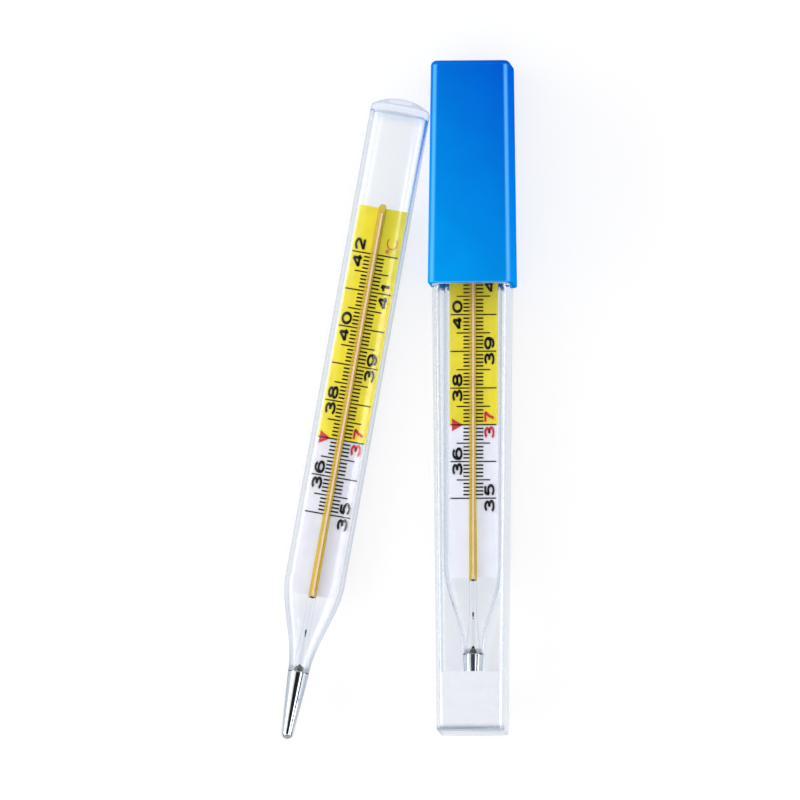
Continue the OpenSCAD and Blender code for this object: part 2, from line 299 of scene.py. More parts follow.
class EffectShelf:
    """Builds each shared effect once, as a node group, and places it in materials."""

    noise_span: Span = (0.3, 0.7)
    cloud_detail: float = 3.0
    grain_detail: float = 4.0
    scuff_ways: tuple[Span, ...] = ((0.5, 0.05), (-1.1, 0.08))
    scuff_span: Span = (0.64, 0.74)
    line_stretch: float = 0.03

    def __init__(self) -> None:
        """Starts with no group made."""
        self.groups: dict[Effect, bpy.types.NodeTree] = {}

    def place(self, desk: Desk, effect: Effect, where: Socket, **values: object) -> Sockets:
        """Places an effect in a material.

        Args:
            desk: The material's tree.
            effect: The effect.
            where: The place on the piece.
            values: The effect's other inputs.

        Returns:
            The effect's outputs by name.
        """
        if effect not in self.groups:
            self.groups[effect] = getattr(self, f"make_{effect.value}")()
        node = desk.add("ShaderNodeGroup", {"Vector": where, **values}, node_tree=self.groups[effect])
        return {s.name: s for s in node.outputs}

    @staticmethod
    def start(effect: Effect, inputs: dict[str, str], outputs: dict[str, str]) -> tuple[Desk, Sockets]:
        """Starts a group.

        Args:
            effect: The effect that the group is for.
            inputs: Kind of socket by input name, apart from the place on the piece.
            outputs: Kind of socket by output name.

        Returns:
            The group's tree, and its inputs by name.
        """
        tree = bpy.data.node_groups.new(effect.value, "ShaderNodeTree")
        for way, sockets in (("INPUT", {"Vector": "Vector", **inputs}), ("OUTPUT", outputs)):
            for name, kind in sockets.items():
                tree.interface.new_socket(name=name, in_out=way, socket_type=f"NodeSocket{kind}")
        desk = Desk(tree)
        return desk, {s.name: s for s in desk.add("NodeGroupInput").outputs if s.name}

    @staticmethod
    def drawn_noise(desk: Desk, given: Sockets, turn: object, stretch: float) -> Socket:
        """Gives noise that is drawn out along one direction.

        Args:
            desk: The group's tree.
            given: The group's inputs, with the place and the scale.
            turn: Angle of the direction.
            stretch: Share of the scale that is left along it.

        Returns:
            The output with the noise.
        """
        turned = desk.add("ShaderNodeVectorRotate", {"Vector": given["Vector"], "Angle": turn},
                          rotation_type="Z_AXIS")
        return desk.noise(desk.vector("MULTIPLY", turned.outputs[0], (1.0, stretch, 1.0)), given["Scale"])

    def make_cloud_tone(self) -> bpy.types.NodeTree:
        """Makes the slow change of tone over a surface.

        Returns:
            The group.
        """
        inputs = {"Color": "Color", "Scale": "Float", "Amount": "Float"}
        desk, given = self.start(Effect.CLOUD_TONE, inputs, {"Color": "Color"})
        clouds = desk.noise(given["Vector"], given["Scale"], self.cloud_detail)
        limits = (desk.math(way, 1.0, given["Amount"]) for way in ("SUBTRACT", "ADD"))
        gain = desk.ease(clouds, *self.noise_span, *limits)
        toned = desk.add("ShaderNodeVectorMath", {0: given["Color"], "Scale": gain}, operation="SCALE")
        desk.add("NodeGroupOutput", {"Color": toned})
        return desk.tree

    def make_fine_grain(self) -> bpy.types.NodeTree:
        """Makes a fine even grain, as a value between two limits and as a height.

        Returns:
            The group.
        """
        inputs = {"Scale": "Float", "Low": "Float", "High": "Float"}
        desk, given = self.start(Effect.FINE_GRAIN, inputs, {"Value": "Float", "Height": "Float"})
        grain = desk.noise(given["Vector"], given["Scale"], self.grain_detail)
        value = desk.ease(grain, *self.noise_span, given["Low"], given["High"])
        desk.add("NodeGroupOutput", {"Value": value, "Height": grain})
        return desk.tree

    def make_handled_scuffs(self) -> bpy.types.NodeTree:
        """Makes fine scratches that cross in two directions, as a value between two limits.

        Returns:
            The group.
        """
        inputs = {"Scale": "Float", "Low": "Float", "High": "Float"}
        desk, given = self.start(Effect.HANDLED_SCUFFS, inputs, {"Value": "Float"})
        marks = (self.drawn_noise(desk, given, *way) for way in self.scuff_ways)
        both = desk.math("MAXIMUM", *(desk.ease(mark, *self.scuff_span) for mark in marks))
        desk.add("NodeGroupOutput", {"Value": desk.ease(both, 0.0, 1.0, given["Low"], given["High"])})
        return desk.tree

    def make_drawn_lines(self) -> bpy.types.NodeTree:
        """Makes the faint waves along glass that was drawn or plastic that flowed.

        Returns:
            The group.
        """
        inputs = {"Turn": "Float", "Scale": "Float"}
        desk, given = self.start(Effect.DRAWN_LINES, inputs, {"Height": "Float"})
        height = self.drawn_noise(desk, given, given["Turn"], self.line_stretch)
        desk.add("NodeGroupOutput", {"Height": height})
        return desk.tree


def new_material(name: str, surface: Callable[[Desk, Socket], Node]) -> bpy.types.Material:
    """Makes a material.

    Args:
        name: The material's name.
        surface: What builds its surface from its tree and the place on the piece.

    Returns:
        The material.
    """
    made = bpy.data.materials.new(name)
    made.use_nodes = True
    made.node_tree.nodes.clear()
    desk = Desk(made.node_tree)
    where = desk.add("ShaderNodeTexCoord").outputs["Object"]
    desk.add("ShaderNodeOutputMaterial", {"Surface": surface(desk, where)})
    return made


EFFECTS = EffectShelf()
MADE: dict["Finish", bpy.types.Material] = {}


@dataclass(frozen=True)
class Finish:
    """A surface finish that can make its own material."""

    name: str
    slot: Slot

    def material(self) -> bpy.types.Material:
        """Makes the material, or gives the one that is already made.

        Returns:
            The material.
        """
        if self not in MADE:
            MADE[self] = new_material(self.name, self.surface)
        return MADE[self]

    def surface(self, desk: Desk, where: Socket) -> Node:
        """Builds the surface in a material's tree."""
        raise NotImplementedError


@dataclass(frozen=True)
class Band:
    """A painted shade: a tint that is full at one point of the plan and gone at another."""

    start: Span
    end: Span
    tint: Colour


@dataclass(frozen=True)
class ClearBody(Finish):
    """Clear glass or plastic that lets lamp light through to what it holds, with painted shade in bands and
    at its grazing edges.
    """

    tint: Colour = srgb(254, 255, 255)
    # Painted shade: the glass turns this grey towards grazing angles, for a dark outline.
    edge_tint: Colour = srgb(165, 176, 192)
    edge_start: float = 0.4
    edge_blur: float = 0.3
    bands: tuple[Band, ...] = ()
    ior: float = 1.47
    shade: Colour = srgb(252, 252, 254)
    turn: float = 0.0
    line_scale: float = 700.0
    line_depth: float = 0.1 * MM
    waviness: float = 0.01
    scuff_scale: float = 900.0
    polish: float = 0.0
    scuffed: float = 0.02
    most_turns: int = 3

    def surface(self, desk: Desk, where: Socket) -> Node:
        """Builds clear glass that room light and rays caught in it pass straight through, tinted with
        painted shade in its bands and at its grazing edges.

        Args:
            desk: The material's tree.
            where: The place on the piece.

        Returns:
            The surface.
        """
        lines = EFFECTS.place(desk, Effect.DRAWN_LINES, where, Turn=self.turn, Scale=self.line_scale)
        scuffs = EFFECTS.place(desk, Effect.HANDLED_SCUFFS, where, Scale=self.scuff_scale, Low=self.polish,
                               High=self.scuffed)
        normal = desk.bump(lines["Height"], self.waviness, self.line_depth)
        facing = desk.add("ShaderNodeLayerWeight", {"Normal": normal}).outputs["Facing"]
        # Painted shade: the tint turns grey towards grazing angles.
        edge = desk.ease(facing, self.edge_start, 1.0)
        plain = self.tint
        # Painted shade: each band tints the glass, full at its start and gone at its end.
        for band in self.bands:
            gone = desk.ease(desk.slope(where, band.start, band.end), 0.0, 1.0)
            plain = desk.mix(gone, band.tint, plain)
        blur = desk.math("ADD", scuffs["Value"], desk.times(edge, self.edge_blur))
        body = desk.add("ShaderNodeBsdfPrincipled", {
            "Base Color": desk.mix(edge, plain, self.edge_tint), "Roughness": blur, "IOR": self.ior,
            "Transmission Weight": 1.0, "Normal": normal})
        path = desk.rays()
        room_light = desk.math("MAXIMUM", path["Is Shadow Ray"], path["Is Diffuse Ray"])
        free = desk.math("MAXIMUM", room_light, desk.turned(path["Glossy Depth"], self.most_turns))
        through = desk.add("ShaderNodeBsdfTransparent", {"Color": self.shade})
        return desk.add("ShaderNodeMixShader", {0: free, 1: body, 2: through})


@dataclass(frozen=True)
class TonedFinish(Finish):
    """A solid finish with an uneven tone and a fine grain."""

    colour: Colour = WHITE
    smooth: float = 0.3
    rough: float = 0.45
    grain_scale: float = 4000.0
    tone_scale: float = 350.0
    tone: float = 0.03

    def surface(self, desk: Desk, where: Socket) -> Node:
        """Builds the surface with its tone and grain.

        Args:
            desk: The material's tree.
            where: The place on the piece.

        Returns:
            The surface.
        """
        tone = EFFECTS.place(desk, Effect.CLOUD_TONE, where, Color=self.colour, Scale=self.tone_scale,
                             Amount=self.tone)
        grain = EFFECTS.place(desk, Effect.FINE_GRAIN, where, Scale=self.grain_scale, Low=self.smooth,
                              High=self.rough)
        shared = {"Base Color": tone["Color"], "Roughness": grain["Value"]}
        return desk.add("ShaderNodeBsdfPrincipled", {**shared, **self.own(desk, where, grain["Height"])})

    def own(self, desk: Desk, where: Socket, grain: Socket) -> dict[str, object]:
        """Gives the surface's own inputs, from its tree, the place on the piece and its grain."""
        raise NotImplementedError


@dataclass(frozen=True)
class LiquidMetal(TonedFinish):
    """Mercury with a bright mirror surface and a trace of bloom."""

    colour: Colour = srgb(232, 234, 238)
    smooth: float = 0.0
    rough: float = 0.02
    grain_scale: float = 900.0
    tone_scale: float = 500.0

    def own(self, desk: Desk, where: Socket, grain: Socket) -> dict[str, object]:
        """Gives the metal."""
        return {"Metallic": 1.0}


@dataclass(frozen=True)
class FiredLayer(TonedFinish):
    """Opal glass, enamel or print that was fired on."""

    relief: float = 0.05
    relief_depth: float = 0.02 * MM
    opacity: float = 1.0

    def own(self, desk: Desk, where: Socket, grain: Socket) -> dict[str, object]:
        """Gives the opacity and the relief of the grain."""
        return {"Alpha": self.opacity, "Normal": desk.bump(grain, self.relief, self.relief_depth)}


@dataclass(frozen=True)
class SoftFoam(TonedFinish):
    """White foam with fine open cells."""

    colour: Colour = srgb(231, 232, 238)
    smooth: float = 0.8
    rough: float = 0.95
    grain_scale: float = 1500.0
    tone_scale: float = 900.0
    tone: float = 0.02
    cell_scale: float = 3200.0
    cell_relief: float = 0.3
    cell_depth: float = 0.1 * MM

    def own(self, desk: Desk, where: Socket, grain: Socket) -> dict[str, object]:
        """Gives the relief of the cells."""
        cells = desk.add("ShaderNodeTexVoronoi", {"Vector": where, "Scale": self.cell_scale})
        return {"Normal": desk.bump(cells.outputs[0], self.cell_relief, self.cell_depth)}


@dataclass(frozen=True)
class MouldedPlastic(Finish):
    """Solid blue plastic with painted shade, running from a lighter end of the cap to a darker one, and
    painted highlights on its long roundings.
    """

    # Painted shade: the blue is lighter at the lit end of the cap and darker at the shaded end.
    near: Colour = srgb(0, 146, 224)
    far: Colour = srgb(0, 84, 196)
    start: Span = (0.0, 0.0)
    end: Span = (0.0, 1.0)
    tone_scale: float = 160.0
    tone: float = 0.03
    scuff_scale: float = 700.0
    polish: float = 0.28
    scuffed: float = 0.34
    grain_scale: float = 2500.0
    relief: float = 0.06
    relief_depth: float = 0.02 * MM
    front_span: Span = (0.2, 0.55)
    flat_span: Span = (0.995, 0.92)
    side_span: Span = (0.62, 0.88)
    end_span: Span = (0.35, 0.05)
    # Painted highlight: the long roundings are painted this lighter blue.
    edge_tone: Colour = srgb(84, 178, 250)
    edge_share: float = 0.7
    front_coat: float = 0.03
    edge_coat: float = 0.25
    coat_blur: float = 0.22

    def surface(self, desk: Desk, where: Socket) -> Node:
        """Builds the plastic, which has painted highlights that make it lighter on its long roundings, where
        it is also glossier.

        Args:
            desk: The material's tree.
            where: The place on the piece.

        Returns:
            The surface.
        """
        # Painted shade: the tone slopes from the lighter blue to the darker one across the cap.
        lit_to_shaded = desk.mix(desk.slope(where, self.start, self.end), self.near, self.far)
        tone = EFFECTS.place(desk, Effect.CLOUD_TONE, where, Color=lit_to_shaded, Scale=self.tone_scale,
                             Amount=self.tone)
        scuffs = EFFECTS.place(desk, Effect.HANDLED_SCUFFS, where, Scale=self.scuff_scale, Low=self.polish,
                               High=self.scuffed)
        grain = EFFECTS.place(desk, Effect.FINE_GRAIN, where, Scale=self.grain_scale)
        normal = desk.parts(desk.add("ShaderNodeNewGeometry").outputs["Normal"])
        # The long roundings, which carry the painted highlight and more coat.
        rounding = desk.times(desk.ease(normal["Z"], *self.flat_span),
                              desk.ease(normal["Z"], *self.side_span),
                              desk.ease(normal["Y"], *self.end_span))
        coat = desk.times(desk.ease(rounding, 0.0, 1.0, self.front_coat, self.edge_coat),
                          desk.ease(normal["Z"], *self.front_span))
        return desk.add("ShaderNodeBsdfPrincipled", {
            # Painted highlight mixed into the base colour on the roundings.
            "Base Color": desk.mix(desk.times(rounding, self.edge_share), tone["Color"], self.edge_tone),
            "Normal": desk.bump(grain["Height"], self.relief, self.relief_depth),
            "Roughness": scuffs["Value"], "Specular IOR Level": 0.0, "Coat Weight": coat,
            "Coat Roughness": self.coat_blur})


MERCURY = LiquidMetal("mercury", Slot.MERCURY)
# Painted shade: copies of the mercury painted dim and near black, where it shows dark.
HALF_SHADED_MERCURY = LiquidMetal("dim_painted_mercury", Slot.MERCURY, colour=srgb(150, 152, 142), smooth=0.35, rough=0.5)
SHADED_MERCURY = LiquidMetal("shade_painted_mercury", Slot.MERCURY, colour=srgb(18, 18, 20), smooth=0.2, rough=0.35)
ENAMEL = FiredLayer("yellow_enamel", Slot.YELLOW_ENAMEL, colour=srgb(228, 198, 72), smooth=0.2, rough=0.3)
# Painted highlight: the pale glint of the empty bore.
BORE_GLINT = FiredLayer("painted_bore_glint", Slot.CAPILLARY_GLASS, colour=srgb(255, 236, 216), smooth=0.15,
                       rough=0.25)
OPAL = FiredLayer("opal_plate", Slot.OPAL_PLATE, colour=srgb(231, 231, 238))
# Painted light: a lighter copy of the opal for the cased thermometer, to make up for the light that the
# tube's wall takes.
LIGHTENED_OPAL = FiredLayer("cased_opal_plate", Slot.OPAL_PLATE, colour=srgb(243, 243, 250))
YELLOW_INK = FiredLayer("yellow_print", Slot.YELLOW_PRINT, colour=srgb(243, 225, 36), tone=0.05)
BLACK_INK = FiredLayer("black_print", Slot.BLACK_PRINT, colour=srgb(8, 8, 8), tone=0.15)
# Painted shade: the lines as they show dark through the capillary, not print.
TICK_SHADE = FiredLayer("painted_tick_shade", Slot.BLACK_PRINT, colour=srgb(168, 126, 36), tone=0.15)
RED_INK = FiredLayer("red_print", Slot.RED_PRINT, colour=srgb(222, 44, 56), tone=0.08, opacity=0.85)
FOAM = SoftFoam("white_foam", Slot.WHITE_FOAM)
# Painted shade: the plastic greys towards grazing angles.
CASE_PLASTIC = ClearBody("clear_plastic", Slot.CLEAR_PLASTIC, tint=srgb(250, 252, 255), ior=1.5,
                         line_scale=300.0, shade=srgb(255, 255, 255), edge_tint=srgb(226, 232, 241),
                         edge_start=0.5, edge_blur=0.0, waviness=0.002, scuffed=0.05)


def weave(shape: bmesh.types.BMesh, rings: Sequence[Ring], looped: bool = False) -> None:
    """Adds a closed surface through a row of rings with the same number of points.

    Args:
        shape: The shape that the surface goes into.
        rings: The rings in order. A ring whose points coincide makes a pole.
        looped: Whether the last ring joins the first, as on a pierced piece.
    """
    rows = [[shape.verts.new(point) for point in ring] for ring in rings]
    count = len(rows[0])
    following = rows[1:] + rows[:1] if looped else rows[1:]
    for below, above in zip(rows, following):
        for i in range(count):
            j = (i + 1) % count
            shape.faces.new((below[i], below[j], above[j], above[i]))
    if not looped:
        shape.faces.new(rows[0][::-1])
        shape.faces.new(rows[-1])


def close_up(shape: bmesh.types.BMesh, name: str, crease: float = CREASE) -> Mesh:
    """Merges doubled points and turns a shape into a mesh.

    Args:
        shape: The shape, which is freed.
        name: Name of the mesh.
        crease: Angle in degrees above which an edge stays sharp.

    Returns:
        The mesh, with smooth shading and its normals outwards.
    """
    bmesh.ops.remove_doubles(shape, verts=shape.verts, dist=MERGE)
    bmesh.ops.recalc_face_normals(shape, faces=shape.faces)
    mesh = bpy.data.meshes.new(name)
    shape.to_mesh(mesh)
    shape.free()
    mesh.shade_smooth()
    mesh.set_sharp_from_angle(angle=math.radians(crease))
    return mesh


def skin(name: str, rings: Sequence[Ring], crease: float = CREASE, looped: bool = False) -> Mesh:
    """Makes a mesh of one closed surface through a row of rings.

    Args:
        name: Name of the mesh.
        rings: The rings in order.
        crease: Angle in degrees above which an edge stays sharp.
        looped: Whether the last ring joins the first.

    Returns:
        The mesh.
    """
    shape = bmesh.new()
    weave(shape, rings, looped)
    return close_up(shape, name, crease)


def polar(radii: Sequence[float], turns: Sequence[float], height: float) -> Ring:
    """Gives a ring about the Z axis, with a radius for each of its turns."""
    return [Vector((r * math.cos(a), r * math.sin(a), height)) for r, a in zip(radii, turns)]


def lathe(name: str, profile: Profile, sides: int = 48, crease: float = CREASE) -> Mesh:
    """Turns a profile about the Z axis.

    Args:
        name: Name of the mesh.
        profile: Radius and height of each point. Its ends close on the axis or on each other.
        sides: Number of sides.
        crease: Angle in degrees above which an edge stays sharp.

    Returns:
        The mesh.
    """
    turns = [math.tau * i / sides for i in range(sides)]
    rings = [polar([r] * sides, turns, z) for r, z in profile]
    looped = profile[0] == profile[-1]
    return skin(name, rings[:-1] if looped else rings, crease, looped)


def arc(centre: Span, radius: float, start: float, end: float, steps: int = 6,
        rise: float | None = None) -> Profile:
    """Gives points on an arc in a profile.

    Args:
        centre: Radius and height of the arc's centre.
        radius: The arc's radius.
        start: First angle in degrees, from the outward direction.
        end: Last angle in degrees.
        steps: How many steps.
        rise: Its radius upwards, where that differs.

    Returns:
        The points.
    """
    upwards = radius if rise is None else rise
    turns = [math.radians(a) for a in spread(start, end, steps)]
    return [(centre[0] + radius * math.cos(a), centre[1] + upwards * math.sin(a)) for a in turns]


def pen_strokes() -> dict[str, list[Profile]]:
    """Gives the pen strokes of each printed character, in a box of one by one.

    Returns:
        The strokes by character. A stroke that ends where it starts is a loop.
    """
    ring = arc((0.5, 0.5), 0.5, 0, 360, 28)
    six = [[*arc((0.5, 0.5), 0.5, 38, 180, 14), (0.0, 0.31)], arc((0.5, 0.31), 0.5, 0, 360, 28, 0.31)]
    return {
        "0": [ring],
        "1": [[(0.78, 0.0), (0.78, 1.0)], [(0.0, 0.68), (0.42, 0.74), (0.78, 1.0)]],
        "2": [[*arc((0.5, 0.7), 0.47, 172, -28, 16, 0.3), (0.04, 0.04)], [(0.0, 0.0), (1.0, 0.0)]],
        "3": [arc((0.5, 0.76), 0.43, 165, -100, 18, 0.24), arc((0.5, 0.26), 0.5, 100, -165, 18, 0.26)],
        "4": [[(0.76, 0.0), (0.76, 1.0)], [(0.76, 1.0), (0.02, 0.29)], [(0.0, 0.27), (1.0, 0.27)]],
        "5": [[(0.92, 1.0), (0.16, 1.0)], [(0.19, 1.0), (0.1, 0.52)],
              arc((0.5, 0.33), 0.5, 142, -155, 20, 0.33)],
        "6": six,
        "7": [[(0.0, 1.0), (1.0, 1.0)], [(0.97, 1.0), (0.6, 0.55), (0.36, 0.0)]],
        "8": [arc((0.5, 0.76), 0.42, 0, 360, 28, 0.24), arc((0.5, 0.26), 0.5, 0, 360, 28, 0.26)],
        "9": [[(1 - u, 1 - v) for u, v in stroke] for stroke in six],
        "o": [ring],
        "C": [arc((0.5, 0.5), 0.5, 48, 312, 20)],
    }


PEN_STROKES = pen_strokes()


def link(name: str, data: bpy.types.ID) -> bpy.types.Object:
    """Makes an object of a mesh, lamp or camera and links it into the scene.

    Args:
        name: The object's name.
        data: What it shows.

    Returns:
        The object.
    """
    made = bpy.data.objects.new(name, data)
    bpy.context.scene.collection.objects.link(made)
    return made


def piece_of(mesh: Mesh, finish: Finish) -> bpy.types.Object:
    """Makes a piece of a mesh and dresses it.

    Args:
        mesh: The mesh, in the frame's own place.
        finish: The piece's finish.

    Returns:
        The piece.
    """
    piece = link(mesh.name, mesh)
    mesh.materials.append(finish.material())
    return piece


def seat(mesh: Mesh, finish: Finish, body: Body, *replaced: str) -> bpy.types.Object:
    """Makes a piece of a mesh, dresses it and lets it ride on a body.

    Args:
        mesh: The mesh, in the frame's own place.
        finish: The piece's finish.
        body: The body that it rides on.
        replaced: CAD nodes that it stands for.

    Returns:
        The piece.
    """
    piece = piece_of(mesh, finish)
    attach(piece, body.value)
    if replaced:
        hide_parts(*replaced)
    LOG.info("piece %s rides on %s", piece.name, body.value)
    return piece


def dress(node: str, finish: Finish) -> None:
    """Gives a CAD node that stays in view its finish.

    Args:
        node: The node's name.
        finish: The finish.
    """
    shown = frame["nodes"][node]
    for place in shown.material_slots:
        place.material = finish.material()
    LOG.info("node %s keeps its shape, in %s", node, finish.name)


FIRST_DEGREE = 35
FEVER_DEGREE = 37
LAST_DEGREE = 42


@dataclass(frozen=True)
class GlassSizes:
    """Sizes of the thermometer in the case, standing on its bulb tip.

    What the frame shows is read from its nodes, and what lies inside a wall has its own value.
    """

    axis: Vector
    width: float
    depth: float
    top: float
    weld: float
    neck_d: float
    cone_top: float
    thread_foot: float
    thread_top: float
    thread_d: float
    stem_foot_d: float
    stem_top: float
    capillary_d: float
    capillary_top: float
    backing_depth: float
    fever_mark: float
    degree: float
    plate_left: float
    plate_right: float
    print_depth: float
    taper: float = 17.355 * MM
    wall: float = 0.4875 * MM
    dome_rise: float = 2.34 * MM
    dome_edge: float = 0.975 * MM
    dome_wall: float = 2.535 * MM
    hollow_rise: float = 0.78 * MM
    hollow_edge: float = 0.4875 * MM
    squareness: float = 3.0
    bulb_wall: float = 0.39 * MM
    tip_d: float = 2.39 * MM
    bore_d: float = 0.39 * MM
    pinch_d: float = 0.156 * MM
    pinch_len: float = 1.365 * MM
    foot_rim: float = 0.195 * MM
    bead_len: float = 0.72 * MM
    neck_swell: float = 1.07

    @classmethod
    def from_frame(cls) -> "GlassSizes":
        """Reads the sizes of the cased thermometer from the frame.

        Returns:
            The sizes.
        """
        kinds = ("envelope", "bulb_glass", "mercury_reservoir", "mercury_thread", "neck_stem",
                 "capillary_tube", "capillary_backing", "scale_plate", "fever_band", "graduations")
        low = {kind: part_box(f"cased_{kind}")[0] for kind in kinds}
        high = {kind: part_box(f"cased_{kind}")[1] for kind in kinds}
        size = {kind: high[kind] - low[kind] for kind in kinds}
        tip = low["bulb_glass"].y
        top = {kind: high[kind].y - tip for kind in kinds}
        axis = (low["mercury_thread"] + high["mercury_thread"]) / 2
        fever_mark = low["fever_band"].y - tip
        middle = (low["graduations"].y + high["graduations"].y) / 2 - tip
        middle_degree = (FIRST_DEGREE + LAST_DEGREE) / 2
        return cls(
            axis=Vector((axis.x, tip, axis.z)),
            width=size["envelope"].x,
            depth=size["envelope"].z,
            top=top["envelope"],
            weld=top["bulb_glass"],
            neck_d=size["bulb_glass"].x * cls.neck_swell,
            cone_top=top["mercury_reservoir"],
            thread_foot=low["mercury_thread"].y - tip,
            thread_top=top["mercury_thread"],
            thread_d=size["mercury_thread"].x,
            stem_foot_d=size["neck_stem"].x,
            stem_top=top["neck_stem"],
            capillary_d=size["capillary_tube"].x,
            capillary_top=top["capillary_tube"],
            backing_depth=axis.z - high["capillary_backing"].z,
            fever_mark=fever_mark,
            degree=(middle - fever_mark) / (middle_degree - FEVER_DEGREE),
            plate_left=low["scale_plate"].x - axis.x,
            plate_right=high["scale_plate"].x - axis.x,
            print_depth=axis.z - high["graduations"].z,
        )

    def mark(self, degrees: float) -> float:
        """Gives the height of a mark on the scale."""
        return self.fever_mark + (degrees - FEVER_DEGREE) * self.degree

    def swell(self, height: float) -> float:
        """Gives the share of the full section that the glass has at a height."""
        return soft_step((height - self.weld) / self.taper)

    def dome(self, inset: float, end: float, rise: float, edge: float, steps: int = 12) -> list[Ring]:
        """Gives the rings of a dome, whose round edge runs into one wide arc.

        Args:
            inset: How far inside the outer face.
            end: Height of the dome's top.
            rise: Height of the dome.
            edge: Radius of its edge.
            steps: Number of rings on the edge and on the arc.

        Returns:
            The rings from the edge to the top.
        """
        reach = self.width / 2 - inset
        radius = (reach * reach + rise * rise - 2 * reach * edge) / (2 * (rise - edge))
        lean = math.atan2(reach - edge, radius - rise)
        points = [(reach - edge + edge * math.cos(a), edge * math.sin(a))
                  for a in spread(0.0, QUARTER - lean, steps)]
        points += [(radius * math.sin(a), rise - radius * (1 - math.cos(a)))
                   for a in spread(lean, 0.0, steps)[1:]]
        return [self.section(end - rise, inset, x / reach, lift) for x, lift in points]

    def section(self, height: float, inset: float, share: float = 1.0, lift: float = 0.0,
                sides: int = 96) -> Ring:
        """Gives one ring of the glass body.

        Args:
            height: Height that sets the section.
            inset: How far inside the outer face.
            share: Share of the section that is left, as in the dome.
            lift: How far above the height the ring lies.
            sides: Number of points.

        Returns:
            The ring's points.
        """
        swell = self.swell(height)
        half_w = self.neck_d / 2 + (self.width - self.neck_d) / 2 * swell - inset
        half_d = self.neck_d / 2 + (self.depth - self.neck_d) / 2 * swell - inset
        power = 2 / (2 + (self.squareness - 2) * swell)
        ring = []
        for i in range(sides):
            c, s = math.cos(math.tau * i / sides), math.sin(math.tau * i / sides)
            x = share * half_w * math.copysign(abs(c) ** power, c)
            y = share * half_d * math.copysign(abs(s) ** power, s)
            ring.append(Vector((x, y, height + lift)))
        return ring

    def bulb_radius(self, height: float) -> float:
        """Gives the outer radius of the bulb on its straight taper."""
        tip_r = self.tip_d / 2
        return tip_r + (self.neck_d / 2 - tip_r) * (height - tip_r) / (self.weld - tip_r)


